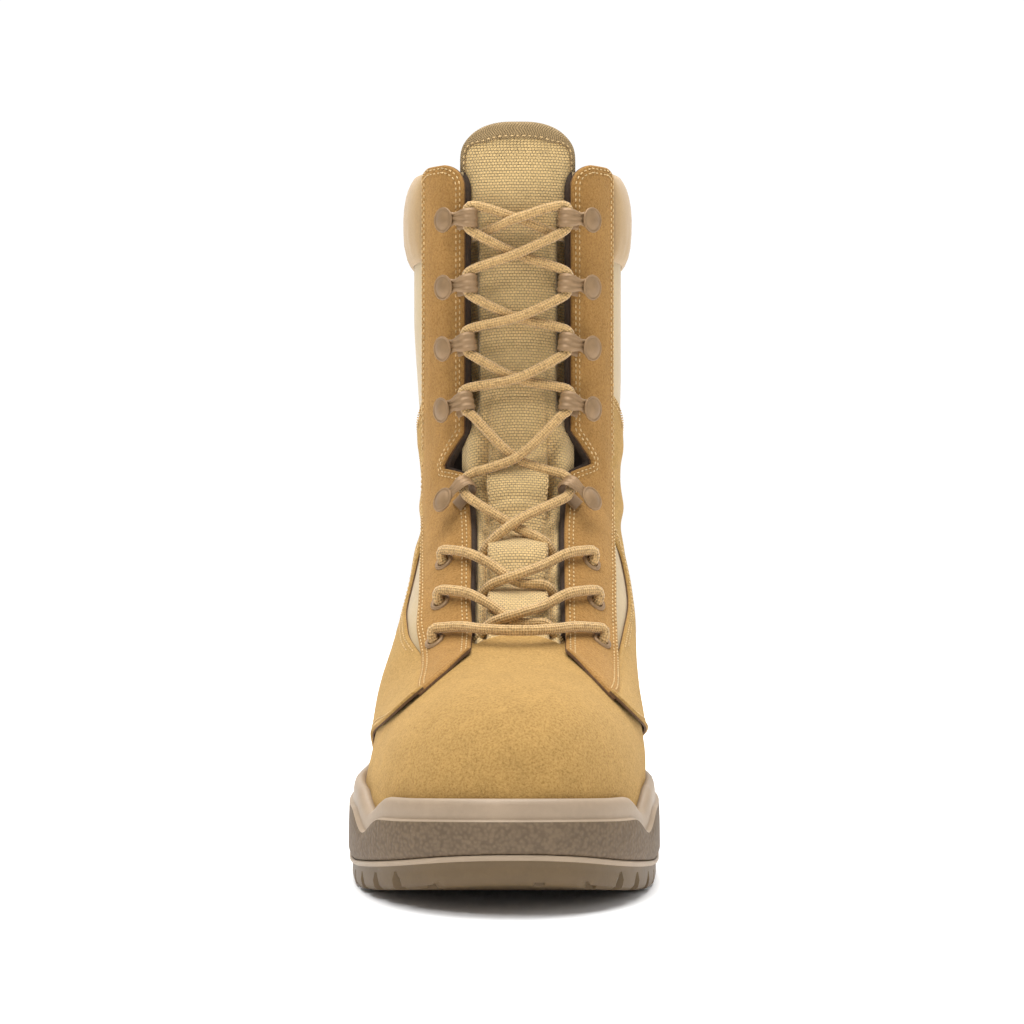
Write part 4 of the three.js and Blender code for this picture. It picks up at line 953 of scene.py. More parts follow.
def tread_cut(x, y):
    """Depth of the tread's grooves at a point."""
    y, x = np.broadcast_arrays(y, x)
    depth = np.zeros(y.shape)
    for cut in TREAD_CUTS:
        share = (CUT_TOP - np.abs(y - cut)) / (CUT_TOP - CUT_BOTTOM)
        depth = np.maximum(depth, CUT_DEPTH * np.clip(share, 0, 1))
    lugged = ((y > 29) & (y < 132)) | ((y > 230) & (y < 286))
    split = 3.5 * np.clip((1.7 - np.abs(np.abs(x) - SPLIT)) / 0.7, 0, 1) * lugged
    nick = np.zeros(y.shape)
    for nx, ny in TOE_NICKS:
        nick = np.maximum(nick, 1.8 * np.clip((1.6 - np.abs(x - nx)) / 0.5, 0, 1) * (y < ny + 7))
    return np.maximum(np.maximum(depth, split), nick)


class BOOT_OT_sole(bpy.types.Operator):
    """Builds the outsole with its lugs, the midsole cup with its pebbled band, and the footbed"""
    bl_idname = "boot.sole"
    bl_label = "Sole"

    def execute(self, context):
        shares = outline_shares(1.15)
        cuts = np.array([(y + shift - TREAD_INSET) / (SOLE_LENGTH - 2 * TREAD_INSET) for y in TREAD_CUTS
                         for shift in (-CUT_TOP, -CUT_BOTTOM, CUT_BOTTOM, CUT_TOP)])
        others = shares[[np.abs(cuts - share).min() > 0.0016 for share in shares]]
        self.outsole(np.sort(np.append(others, cuts)))
        self.midsole(shares)
        self.insole(outline_shares(3.0))
        return {"FINISHED"}

    def outsole(self, shares):
        body = Body()
        y0 = TREAD_INSET + shares * (SOLE_LENGTH - 2 * TREAD_INSET)
        sides = {}
        for side in (LATERAL, MEDIAL):
            foot = tread_height(y0) + tread_cut(side * sole_half(side, y0, TREAD_INSET), y0)
            x1 = side * sole_half(side, y0, TREAD_INSET / 2)

            def wall_z(rise):
                return lambda y: tread_height(y) + np.maximum(rise, tread_cut(x1, y) + 0.12 + rise * 0.05)

            def below_top(drop):
                return lambda y: outsole_top(y) - drop

            steps = [(TREAD_INSET, lambda y: foot), (1.6, wall_z(0.9)), (1.3, wall_z(1.9)),
                     (1.0, wall_z(3.4)), (1.0, wall_z(5.2)), (1.0, below_top(2.3)), (0.75, below_top(1.85)),
                     (0.2, below_top(1.45)), (0.0, below_top(1.1)), (0.0, below_top(0.4)), (0.35, outsole_top),
                     (9.0, outsole_top)]
            sides[side] = lay_half(body, side, shares, steps, [0] * 6 + [1] * 5)
        tread = between(sides, 0, 61)
        ends = tread[:, [0, -1], 2].copy()
        tread[..., 2] = tread_height(tread[..., 1]) + tread_cut(tread[..., 0], tread[..., 1])
        tread[:, [0, -1], 2] = ends
        body.skin(body.put(tread), tread[..., :2], flip=True)
        top = between(sides, -1, 3)
        body.skin(body.put(top), top[..., :2])
        piece = body.build("outsole_rubber", [finish("rubber"), finish("rand")], 32, 0.004)
        settle(piece, ["outsole"])

    def midsole(self, shares):
        def on_outsole(rise):
            return lambda y: outsole_top(y) + rise

        def below_rand(drop):
            return lambda y: rand_top(y) - drop

        steps = [(3.0, on_outsole(0.3)), (0.6, on_outsole(0.3)), (0.1, on_outsole(1.0)),
                 (-0.4, on_outsole(3)), (-0.3, lambda y: (outsole_top(y) + rand_top(y)) / 2 - 2),
                 (-0.05, below_rand(7.9)), (0.3, below_rand(7.4)), (1.15, below_rand(7.15)),
                 (1.35, below_rand(6.6)), (1.3, below_rand(5.6)), (1.35, below_rand(4)), (1.6, below_rand(2.2)),
                 (2.0, below_rand(1.1)), (2.7, below_rand(0.3)), (3.6, rand_top), (4.6, below_rand(0.2)),
                 (5.6, below_rand(1.2)), (6.3, below_rand(3.0)),
                 (6.6, lambda y: np.maximum(rand_top(y) - 6.5, platform(y) + 1)), (6.8, platform)]
        self.layer(shares, steps, [0] * 5 + [1] * 12 + [0] * 2, 5, "midsole_cup", ["foam", "rand"],
                   "midsole_foam", "midsole")

    def insole(self, shares):
        def above_platform(rise):
            return lambda y: platform(y) + rise

        steps = [(9.6, above_platform(1.35)), (8.9, above_platform(1.8)), (8.8, above_platform(3.4)),
                 (9.2, above_platform(4.0)), (10.0, above_platform(4.3)), (14, above_platform(4.1))]
        self.layer(shares, steps, [0] * 5, 9, "footbed", ["footbed"], "lining", "insole")

    def layer(self, shares, steps, marks, count, name, finishes, slot, node):
        """A layer of the sole: its two halves, and plain faces under and over them."""
        body = Body()
        sides = {side: lay_half(body, side, shares, steps, marks) for side in (LATERAL, MEDIAL)}
        for column in (0, -1):
            grid = between(sides, column, count)
            body.skin(body.put(grid), grid[..., :2], flip=column == 0)
        settle(body.build(name, [finish(f) for f in finishes], 50, 0.004), [node])


# ---- Upper shell

FRONT_SEAM = [
    # turn from the top middle, stations by which the seam of vamp and quarter leaves station 7
    (0.0, 0.0), (0.06, -0.2), (0.1, -0.65), (0.17, -1.35), (0.25, -1.85), (0.33, -1.75), (0.4, -1.2),
    (0.47, -0.1), (0.55, 0.7), (0.7, 1.1), (1.0, 1.1),
]


def seam_shift(turn):
    """The seam runs forward over the shoulders of the toe and back down the sides."""
    places, shifts = zip(*FRONT_SEAM)
    away = np.abs(np.mod(turn + 1, 2) - 1)
    around = [np.interp(away + step, places, shifts) for step in (-0.03, -0.015, 0.0, 0.015, 0.03)]
    return sum(around) / len(around)


def seam_lean(turn, row):
    """Stations by which a suede panel's rows follow the front seam, fading out up the boot."""
    return seam_shift(turn) * (1 - smoothstep(row, 7.0, 10.0))


def vamp_edge(turn):
    """Station at which the vamp ends: an arch across the throat, further back under the quarters."""
    across = np.abs(skin(np.full_like(turn, 6.9), turn)[..., 0])
    front = np.abs(np.mod(turn + 1, 2) - 1) < 0.5
    arch = 7.1 - 0.3 * np.minimum(across / 17.0, 1.2) ** 2
    back = 7.5 + np.maximum(seam_shift(turn), 0)
    share = np.where(front, smoothstep(across, 15.5, 21.0), 1.0)
    return arch + (back - arch) * share


def ankle_folds(points):
    """Soft creases that walk round the ankle from the lace stays."""
    y, z = points[..., 1], points[..., 2]
    side = smoothstep(np.abs(points[..., 0]), 30, 40)
    front = 1 - smoothstep(y, 195, 235)
    first = bump(z - 0.32 * (y - 170), 150, 5.0)
    second = bump(z - 0.22 * (y - 170), 132, 4.2)
    third = bump(z - 0.1 * (y - 165), 117, 4.0)
    ridge = bump(z - 0.27 * (y - 170), 141, 4.0) + 0.7 * bump(z - 0.16 * (y - 170), 124, 3.6)
    return side * front * (1.0 * ridge - 1.1 * first - 1.0 * second - 0.6 * third)


class BOOT_OT_shell(bpy.types.Operator):
    """Builds the hollow upper: the suede vamp, and the nylon shaft with its lining"""
    bl_idname = "boot.shell"
    bl_label = "Upper shell"

    def execute(self, context):
        self.vamp()
        self.shaft()
        return {"FINISHED"}

    def vamp(self):
        columns = 150
        turn = 2 * np.arange(columns) / columns
        rows = 84
        share = np.linspace(0, 1, rows) ** 0.92
        end = vamp_edge(turn)
        station = share[:, None] * end[None]
        turns = np.repeat(turn[None], rows, 0)
        inside = (1 - share[:, None]) * end[None] * 14.0
        outer = skin_out(station, turns, -roll(inside, 0.8))
        inner = skin_out(station, turns, -1.7)
        above_board(outer, 0.2)
        above_board(inner, 1.2)

        def dome(grid, rise):
            centre = (grid[0, 0] + grid[0, columns // 2]) / 2
            shrink = np.array([0.25, 0.5, 0.72, 0.88, 0.97])
            ring = centre + (grid[0] - centre)[None] * shrink[:, None, None]
            ring[..., 1] -= rise * (1 - shrink ** 2)[:, None]
            return np.concatenate([ring, grid])

        body = Body()
        outer, inner = dome(outer, 1.2), dome(inner, 0.8)
        run = np.repeat(np.arange(len(outer))[:, None] * 1.5, columns + 1, 1)
        around = np.repeat((np.arange(columns + 1) * 1.7)[None], len(outer), 0)
        uv = np.stack([around, run], -1)
        top, under = body.put(outer), body.put(inner)
        body.skin(top, uv, True)
        body.skin(under, uv, True, 1, flip=True)
        body.skin(np.stack([top[-1], under[-1]]), None, True, 0)
        body.cap(top[0], flip=True)
        body.cap(under[0], mark=1)
        piece = body.build("vamp_shell", [finish("suede"), finish("lining")], 50)
        settle(piece, ["upper"])

    def shaft(self):
        rows, columns = 120, 170
        share = np.linspace(0, 1, columns)
        fixed = np.full((), 18.0)
        first, last = (float(turn_across(fixed, side, THROAT_HALF)) for side in (MEDIAL, LATERAL))
        turn = first + (2 + last - first) * share
        top = bisect(14, LAST_STATION,
                     lambda s: skin(s, turn)[..., 2] > top_line(skin(s, turn)[..., 1]), turn.shape)
        down = np.linspace(0, 1, rows)
        foot = 7.2 + np.maximum(seam_shift(turn), 0)
        station = foot[None] + (top - foot)[None] * down[:, None]
        probe = np.linspace(7.0, LAST_STATION, 400)
        edge = throat_edge(probe) + 1.0
        a, b = turn_across(probe, MEDIAL, edge), 2 + turn_across(probe, LATERAL, edge)
        first, last = np.interp(station, probe, a), np.interp(station, probe, b)
        turns = first + (last - first) * share[None]
        outer = above_board(skin_out(station, turns, np.zeros_like(turns)), 0.2)
        inner = above_board(skin_out(station, turns, np.full_like(turns, -1.9)), 1.3)
        body = Body()
        uv = np.stack(np.broadcast_arrays((share * 260)[None], (down * 200)[:, None]), -1)
        plate(body, outer, inner, uv, (0, 1, 1))
        piece = body.build("shaft_shell", [finish("shaft"), finish("lining")], 50)
        settle(piece, ["upper"])


# ---- Suede overlays

def stay_edges(side, front_in=0.0):
    def edges(station):
        below = height(2) + 1 - skin(station, np.zeros_like(station))[..., 2]
        tip = STAY_HALF - 5.0
        front = tip + (throat_edge(station) + front_in - tip) * rounded_end(below / 10.0)
        rear = tip + (STAY_HALF - tip) * rounded_end(below / 4.0)
        return turn_across(station, side, front), turn_across(station, side, rear)
    return edges


class BOOT_OT_overlays(bpy.types.Operator):
    """Builds the lace stays, quarters, heel counter and the facing behind the stays"""
    bl_idname = "boot.overlays"
    bl_label = "Suede overlays"

    def execute(self, context):
        for side, word in ((LATERAL, "lateral"), (MEDIAL, "medial")):
            self.stay(side, word)
            self.facing(side, word)
            self.quarter(side, word)
        self.counter()
        return {"FINISHED"}

    def stay(self, side, word):
        panel = Panel(FRONT_STATION, STAY_TOP - 0.02, stay_edges(side), 1.4, STAY_OUT, lean=seam_lean)
        inside = panel.inside
        points = skin(panel.station, panel.turn)
        rows = [1.4, 3.1]
        low = 1 - smoothstep(panel.row, 7.0, 7.25)
        corner = low * (1 - smoothstep(np.abs(points[..., 0]), THROAT_FOOT, THROAT_FOOT + 9))
        out = STAY_OUT + 0.25 + 0.3 * smoothstep(inside, 4, 9) - roll(inside, 1.1) - stitch_dips(inside, rows)
        out = out + 0.5 * bump(inside, 2.6, 0.8) * 0.4 + 1.2 * corner
        outer = skin_out(panel.station, panel.turn, out)
        inner = skin_out(panel.station, panel.turn, np.full_like(out, CLEARANCE - 0.1) + 0.9 * corner)
        body = Body()
        plate(body, outer, inner, panel.uv, (0, 1, 2))
        piece = body.build("stay_panel_" + word, [finish("stay"), finish("lining"), finish("edge")], 55)
        settle(piece, ["lace_stay_" + word])
        for row in rows:
            for part in ("first", "last", "high"):
                seam(panel, part, row, STAY_OUT + 0.3, lambda p: p[:, 2] > 70)

    def facing(self, side, word):
        def edges(station):
            edge = throat_edge(station)
            top = height(2) - 1 - skin(station, np.zeros_like(station))[..., 2]
            drawn = (edge + 6) + (-0.9 - 6) * rounded_end(top / 9.0)
            return turn_across(station, side, drawn), turn_across(station, side, edge + 7)

        # The facing takes the lining's colour, so its painted shade shows as the dark gap between the stay's
        # edge and the tongue.
        panel = Panel(7.3, STAY_TOP - 0.18, edges, 1.8, -0.6)
        out = 0.15 - roll(panel.inside, 1.0)
        outer = skin_out(panel.station, panel.turn, out)
        inner = skin_out(panel.station, panel.turn, np.full_like(out, -2.3))
        body = Body()
        plate(body, outer, inner, panel.uv)
        settle(body.build("throat_facing_" + word, [finish("lining")], 55))

    def quarter(self, side, word):
        def window(station):
            share = np.clip((station - 8.4) / (11.8 - 8.4), 0, 1)
            return 0.112 * (1 - share ** 2.6) ** 0.6 * smoothstep(station, 7.8, 10.2) ** 0.8

        def edges(station):
            front = turn_across(station, side, STAY_HALF - 2.2) + side * window(station)
            foot = bisect(0.3, 1, lambda t: skin(station, side * t)[..., 2]
                          < platform(skin(station, side * t)[..., 1]) + 2, station.shape)
            foot = np.where(station > 13, 1.0, foot)
            counter = bisect(0.05, 1 - BACKSTAY_TURN, lambda t: np.hypot(
                skin(station, side * t)[..., 1] - 0.985 * SOLE_LENGTH,
                skin(station, side * t)[..., 2] - 0.2 * ANKLE_HEIGHT) < COUNTER_RADIUS, station.shape)
            return front, side * np.minimum(foot, counter + 0.03)

        panel = Panel(FRONT_STATION, QUARTER_TOP, edges, 1.7, 1.5, lean=seam_lean)
        inside = panel.inside
        base = skin(panel.station, panel.turn)
        rows = [1.6, 3.4]
        under = smoothstep(np.abs(panel.turn - panel.turn[:, -1:]), 0.012, 0.032)
        out = 0.9 + 0.75 * under - roll(inside, 1.0) - stitch_dips(inside, rows, 0.25)
        out = out + 1.5 * ankle_folds(base)
        lifted = (1 - smoothstep(panel.row, 7.0, 7.3)) * bump(np.abs(base[..., 0]), STAY_HALF, 14)
        out = out + 1.5 * lifted
        outer = skin_out(panel.station, panel.turn, out)
        inner = skin_out(panel.station, panel.turn, np.full_like(out, 0.12) + 1.1 * lifted)
        above_board(outer, 0.6)
        above_board(inner, 0.4)
        body = Body()
        plate(body, outer, inner, panel.uv, (0, 1, 2))
        piece = body.build("quarter_panel_" + word, [finish("suede"), finish("lining"), finish("edge")], 55)
        settle(piece, ["quarter_" + word])
        for row in rows:
            seam(panel, "first", row, 1.6, lambda p: (p[:, 2] > 80) & (p[:, 2] < 126))
            seam(panel, "low", row, 1.6, lambda p: p[:, 2] > 44)
            seam(panel, "high", row, 1.6)

    def counter(self):
        low, high = 10.6, 18.9

        def edges(station):
            turn = bisect(0.05, 1 - BACKSTAY_TURN, lambda t: np.hypot(
                skin(station, t)[..., 1] - 0.985 * SOLE_LENGTH,
                skin(station, t)[..., 2] - 0.2 * ANKLE_HEIGHT) < COUNTER_RADIUS, station.shape)
            return turn, 2 - turn

        top = float(bisect(14, LAST_STATION,
                           lambda s: skin(s, np.full((), 0.5))[..., 2] > height(2) - 3 - COLLAR_HEIGHT))
        panel = Panel(low, min(high, top - 0.3), edges, 1.8, 1.9, 120)
        inside = panel.inside
        rows = [1.6, 3.4]
        out = 2.55 - roll(inside, 1.3) - stitch_dips(inside, rows, 0.25) + 0.3 * smoothstep(inside, 4, 10)
        outer = above_board(skin_out(panel.station, panel.turn, out), 0.7)
        inner = above_board(skin_out(panel.station, panel.turn, np.full_like(out, 0.25)), 0.3)
        body = Body()
        plate(body, outer, inner, panel.uv, (0, 1, 2))
        piece = body.build("heel_counter_panel", [finish("suede"), finish("lining"), finish("edge")], 55)
        settle(piece, ["heel_counter"])
        for row in rows:
            for part in ("first", "last", "high"):
                seam(panel, part, row, 2.5, lambda p: p[:, 2] > 52)


# ---- Padded pieces

COLLAR_SECTION = [
    # depth under the top line, distance out of the skin
    (34.0, 0.25), (33.6, 1.0), (32.2, 2.0), (29.5, 3.0), (25.5, 3.9), (20.5, 4.35), (15.0, 4.45), (10.0, 4.1),
    (6.0, 3.4), (3.0, 2.5), (0.8, 1.5), (-0.9, 0.4), (-1.5, -1.0), (-1.0, -2.6), (1.0, -3.9), (4.5, -4.9),
    (10.0, -5.4), (16.0, -5.2), (21.0, -4.4), (25.0, -3.2), (27.0, -2.35), (24.0, -2.2), (12.0, -2.2),
    (1.0, -2.1), (-0.4, -1.5), (-0.4, -0.5), (1.0, 0.12), (12.0, 0.15), (24.0, 0.15),
]


class BOOT_OT_collar(bpy.types.Operator):
    """Builds the padded collar, folded over the top of the shaft"""
    bl_idname = "boot.collar"
    bl_label = "Padded collar"

    def execute(self, context):
        fixed = np.full((), 18.0)
        first = float(turn_across(fixed, MEDIAL, STAY_HALF + 0.2))
        last = 2 + float(turn_across(fixed, LATERAL, STAY_HALF + 0.2))
        columns = 150
        share = np.linspace(0, 1, columns)
        turn = first + (last - first) * share
        section = np.array(COLLAR_SECTION)
        probe = np.linspace(14, LAST_STATION, 260)
        grid = []
        for j, t in enumerate(turn):
            line = skin(probe, np.full_like(probe, t))
            depth = top_line(line[:, 1]) - line[:, 2]
            station = np.interp(-section[:, 0], -depth, probe)
            end = min(share[j], 1 - share[j])
            full = rounded_end(np.array(end / 0.045))
            padded = 0.3 + (section[:, 1] - 0.3) * (0.25 + 0.75 * full)
            offset = np.where(section[:, 1] > 0.3, padded, section[:, 1])
            pucker = 0.16 * math.sin(j * 1.37) + 0.12 * math.sin(j * 0.61 + 1.0)
            offset = offset + np.where(section[:, 1] > 2.2, pucker * bump(section[:, 0], 28, 6), 0)
            grid.append(skin_out(station, np.full_like(station, t), offset))
        piece = sleeve(np.array(grid), share * 230).build("collar_pad", [finish("padding")], 60)
        settle(piece, ["collar"])
        return {"FINISHED"}


def tongue_half(station, inset=0.0):
    below = height(2) + TONGUE_RISE - inset - skin(station, np.zeros_like(station))[..., 2]
    return (TONGUE_HALF - 2 - inset) * rounded_end(below / 13) + 2


TONGUE_PUFFS = [
    # size, level, width: puffs between the crossings of the lace, then the dips under them
    (5.2, 141, 8.5), (3.6, 116.5, 5.5), (3.2, 97, 6.5), (1.2, 182, 8), (1.2, 206, 8), (1.1, 230, 9),
    (-2.6, 126, 3.6), (-2.1, 106.5, 3.2), (-1.4, 156, 5), (-1.0, 194, 4), (-1.0, 218, 4), (-0.8, 243, 4),
]
TONGUE_CREASES = [(131.5, 0.5), (135.5, 0.45), (112.5, 0.4), (178.5, 0.35), (188.0, 0.3), (201.5, 0.35)]


def tongue_relief(across, z):
    """Puffs, folds and the raised strip of the tongue's face, out of its plain surface."""
    a = np.abs(across)
    strip = 1 - smoothstep(a, 11.4, 12.6)
    low = 1 - smoothstep(z, 168, 172)
    rise = 0.55 * strip * low * smoothstep(z, 60, 70)
    for size, level, width in TONGUE_PUFFS:
        rise = rise + strip * size * bump(z, level, width)
    sag = z + 0.025 * across ** 2
    for level, depth in TONGUE_CREASES:
        rise = rise - depth * strip * bump(sag, level, 1.1)
    gusset = bump(z, 151, 13) * bump(a, 17.5, 4.5)
    rise = rise + 4.2 * gusset + 1.2 * bump(z, 121, 6) * bump(a, 16.5, 3.5)
    fold = bump(a, 13.2, 1.1) * (smoothstep(z, 80, 92) * (1 - smoothstep(z, 158, 172)))
    rise = rise - 2.4 * fold + 0.5 * bump(z, 171.5, 1.1) * (1 - smoothstep(a, 12, 13))
    drop = smoothstep(a, 15.5, 20.5) * (smoothstep(z, 160, 172) * (1 - smoothstep(z, 238, 252)))
    rise = rise - 5.0 * drop - 2.5 * smoothstep(a, 15.0, 19.0) * (1 - smoothstep(z, 118, 138))
    return rise


class BOOT_OT_tongue(bpy.types.Operator):
    """Builds the padded tongue with its puffs and folds, and the tape round its free edge"""
    bl_idname = "boot.tongue"
    bl_label = "Tongue"

    def execute(self, context):
        rim = height(2) + TONGUE_RISE
        top = float(bisect(7, LAST_STATION, lambda s: skin(s, np.zeros(()))[..., 2] > rim))

        def edges(station):
            half = tongue_half(station)
            return turn_across(station, LATERAL, half), turn_across(station, MEDIAL, half)

        panel = Panel(6.2, top - 0.004, edges, 0.85, TONGUE_OUT)
        base = skin(panel.station, panel.turn)
        rise = tongue_relief(base[..., 0], base[..., 2])
        rounded = roll(panel.inside, 2.2)
        outer = skin_out(panel.station, panel.turn, TONGUE_OUT + rise - rounded)
        thick = 4.8 - 0.25 * np.minimum(rise, 0)
        inner = skin_out(panel.station, panel.turn, TONGUE_OUT + np.minimum(rise, 0.6) - thick + rounded)
        body = Body()
        plate(body, outer, inner, panel.uv, (0, 1, 0))
        piece = body.build("tongue_pad", [finish("weave"), finish("lining")], 70)
        settle(piece, ["tongue"])
        self.strip_seams()
        self.binding(panel)
        return {"FINISHED"}

    def strip_seams(self):
        z = np.linspace(99, 170, 90)
        for side in (LATERAL, MEDIAL):
            turn_of = lambda s: turn_across(s, side, 10.9)
            station = station_at(z, turn_of)
            turn = turn_of(station)
            lift = TONGUE_OUT + tongue_relief(np.full_like(z, 10.9), z) + 0.15
            _, normal, _, _ = skin_frame(station, turn)
            note_seam(skin_out(station, turn, lift), normal)
        across = np.linspace(-11, 11, 24)
        turns = np.array([float(turn_across(np.full((), 15.4), 1 if a > 0 else -1, abs(a))) for a in across])
        station = bisect(7, LAST_STATION, lambda s: skin(s, turns)[..., 2] > 174.0, turns.shape)
        _, normal, _, _ = skin_frame(station, turns)
        lift = TONGUE_OUT + tongue_relief(across, np.full_like(across, 174.0)) + 0.15
        note_seam(skin_out(station, turns, lift), normal)

    def binding(self, panel):
        station, turn = panel.rim("all")
        points = skin(station, turn)
        rows, columns = panel.turn.shape
        # The rim runs low edge, medial side up, top edge back, lateral side down.
        keep = np.arange(columns - 1, 2 * columns + 2 * rows - 4)
        keep = keep[points[keep, 2] > height(1.8)]
        line = np.stack([station[keep], turn[keep]], -1)
        spots = points[keep]
        run = np.append(0, np.cumsum(np.linalg.norm(np.diff(spots, axis=0), axis=1)))
        even = np.linspace(0, run[-1], int(run[-1] / 1.1))
        s, t = np.interp(even, run, line[:, 0]), np.interp(even, run, line[:, 1])
        smooth = np.ones(5) / 5
        s[2:-2], t[2:-2] = np.convolve(s, smooth, "valid"), np.convolve(t, smooth, "valid")
        centre = skin(s, t)[:, 0]
        wide = 6.3 - 2.9 * smoothstep(np.abs(centre), 15, 24)
        section = [  # share of the tape's width inward, distance out of the tongue
            (1.0, 0.05), (1.0, 0.5), (0.93, 0.75), (0.7, 0.6), (0.45, 0.62), (0.2, 0.5), (0.06, 0.0),
            (-0.05, -1.2), (-0.08, -2.6), (-0.05, -4.0), (0.06, -5.0), (0.25, -5.4), (0.6, -5.5),
            (0.95, -5.4), (1.0, -4.9), (0.55, -4.6), (0.2, -4.2), (0.12, -2.6), (0.2, -1.0), (0.55, -0.2)]
        sign = None
        rings = []
        inner_points = skin_out(panel.station, panel.turn, 0).reshape(-1, 3)
        middle = inner_points[np.argmin(np.abs(inner_points[:, 0]) + np.abs(inner_points[:, 2] - 262))]
        for share, out in section:
            shift = wide * abs(share) if share >= 0 else np.full_like(wide, 0.5)
            if sign is None:
                trial, _ = along_edge(s, t, 1.0, 0.0)
                k = len(s) // 2
                sign = 1 if np.linalg.norm(trial[k] - middle) < np.linalg.norm(skin(s, t)[k] - middle) else -1
            rings.append(along_edge(s, t, shift * sign * (1 if share >= 0 else -1), TONGUE_OUT + out)[0])
        grid = np.stack(rings, 1)
        tape = sleeve(grid, even).build("tongue_tape", [finish("tape")], 55)
        settle(tape, ["tongue_binding"])
        line = grid[:, 3] * 0.35 + grid[:, 2] * 0.65
        _, normals = along_edge(s, t, sign * 4.0, 0.0)
        note_seam(line + normals * 0.12, normals)


# ---- Hardware

def seat_frame(side, level, across, offset, tilt=0.0):
    z = np.full((), height(level))
    station = station_at(z, lambda s: turn_across(s, side, across))
    turn = turn_across(station, side, across)
    seat = skin_out(station, turn, offset)
    normal = unit(skin_out(station, turn, offset + 1) - seat)
    away = skin_out(station, turn + side * 0.02, offset) - seat
    away = unit(away - normal * (away @ normal))
    angle = -side * math.radians(tilt)
    away = away * math.cos(angle) + np.cross(normal, away) * math.sin(angle)
    return seat, normal, away, np.cross(away, normal)


HOOK_LIFT, HOOK_SHEET, HOOK_MOUTH = 0.75, 0.8, 3.0
HOOK_AXIS = HOOK_LIFT + HOOK_SHEET + HOOK_MOUTH


class BOOT_OT_hardware(bpy.types.Operator):
    """Builds the three rows of eyelets and the five rows of speed hooks"""
    bl_idname = "boot.hardware"
    bl_label = "Eyelets and hooks"

    def execute(self, context):
        eyelets, hooks = Body(), Body()
        for level, share in EYELET_ROWS:
            for side in (LATERAL, MEDIAL):
                self.eyelet(eyelets, seat_frame(side, level, share * STAY_HALF, STAY_OUT + 0.25))
        for level, tilt in HOOK_ROWS:
            for side in (LATERAL, MEDIAL):
                self.hook(hooks, seat_frame(side, level, HOOK_SEAT, STAY_OUT, tilt))
        nodes = [f"eyelet_{w}_{i}" for w in ("lateral", "medial") for i in (1, 2, 3)]
        settle(eyelets.build("eyelets", [finish("hardware")], 35), nodes)
        nodes = [f"hook_{w}_{i}" for w in ("lateral", "medial") for i in range(1, 6)]
        settle(hooks.build("speed_hooks", [finish("hardware")], 35), nodes)
        return {"FINISHED"}

    def eyelet(self, body, seat):
        place, normal, _, _ = seat
        angle = np.linspace(0, np.pi, 9)
        rim = [(3.25 + 0.85 * -math.cos(a), 0.35 + 0.85 * math.sin(a)) for a in angle]
        outline = [(2.4, -4.0), *rim, (4.1, 0.1), (2.9, -0.1), (2.9, -4.0)]
        index = lathe(body, outline, place, normal, 24)
        body.skin(np.concatenate([index, index[:1]]), None, True)

    def hook(self, body, seat):
        place, normal, away, third = seat
        outer = HOOK_MOUTH + HOOK_SHEET / 2
        path = [(0.6, HOOK_LIFT + HOOK_SHEET / 2), (-3.0, HOOK_LIFT + HOOK_SHEET / 2)]
        path += [(HOOK_BEND - outer * math.sin(a), HOOK_AXIS - outer * math.cos(a))
                 for a in np.linspace(0, math.pi, 15)]
        path += [(x, HOOK_AXIS + outer) for x in np.linspace(HOOK_BEND + 1.2, 1.2, 8)]
        path = np.array(path)
        run = np.append(0, np.cumsum(np.linalg.norm(np.diff(path, axis=0), axis=1)))
        share = run / run[-1]
        wide = 3.5 + 0.35 * bump(share, 0.5, 0.16) - 1.05 * bump(share, 0.84, 0.09)
        tangent = unit(np.gradient(path, axis=0))
        out = np.stack([tangent[:, 1], -tangent[:, 0]], -1) * -1
        if out[len(out) // 2 + 3, 0] > 0:
            out = -out
        cross = np.linspace(-1, 1, 17)
        ribbed = smoothstep(share, 0.3, 0.45) * (1 - smoothstep(share, 0.88, 0.97))
        rise = 0.22 * np.cos(cross * 3 * np.pi)[None] * ribbed[:, None]
        edge = -0.3 * np.abs(cross)[None] ** 6
        layers = []
        for thickness in (0.4, -0.4):
            relieved = rise + edge if thickness > 0 else rise * 0.6 - edge
            shift = out[:, None] * (thickness + relieved)[..., None]
            flat = path[:, None] + shift
            layers.append(place + flat[..., :1] * away + flat[..., 1:] * normal
                          + (wide[:, None] * cross[None])[..., None] * third)
        uv = np.stack([np.repeat(run[:, None], 17, 1), wide[:, None] * cross[None]], -1)
        plate(body, layers[0], layers[1], uv)
        centre = place + away * 2.0 + normal * (HOOK_AXIS + outer - 0.5)
        facing = normal * 0.975 + away * 0.22
        dome = [(0.01, 2.15), (1.2, 2.08), (2.4, 1.85), (3.4, 1.5), (3.95, 1.2), (4.25, 1.22), (4.6, 1.38),
                (4.9, 1.25), (5.0, 0.95), (4.9, 0.65), (4.6, 0.5), (2.4, 0.45), (0.01, 0.45)]
        body.skin(lathe(body, dome, centre, facing, 30), None, True)
        index = lathe(body, [(0.01, 0.45), (0.01, 2.15)], centre, facing, 30)
        body.skin(index, None, True)


# ---- Lace

def over(across, z, lift):
    """Point over the boot's front: across from the centre line, at a height of the skin, lifted."""
    side = LATERAL if across < 0 else MEDIAL
    station = station_at(np.full((), float(z)), lambda s: turn_across(s, side, abs(across)))
    return skin_out(station, turn_across(station, side, abs(across)), lift)


def at_hook(side, row, reach, lift, rise):
    """Point by a hook: out from its foot, lifted off the stay, and up or down the boot."""
    level, tilt = HOOK_ROWS[row]
    place, normal, away, _ = seat_frame(side, level, HOOK_SEAT, STAY_OUT, tilt)
    third = seat_frame(side, level, HOOK_SEAT, STAY_OUT)[3]
    up = third * math.copysign(1.0, third[2])
    return place + away * (HOOK_BEND + reach) + normal * (HOOK_AXIS + lift) + up * rise


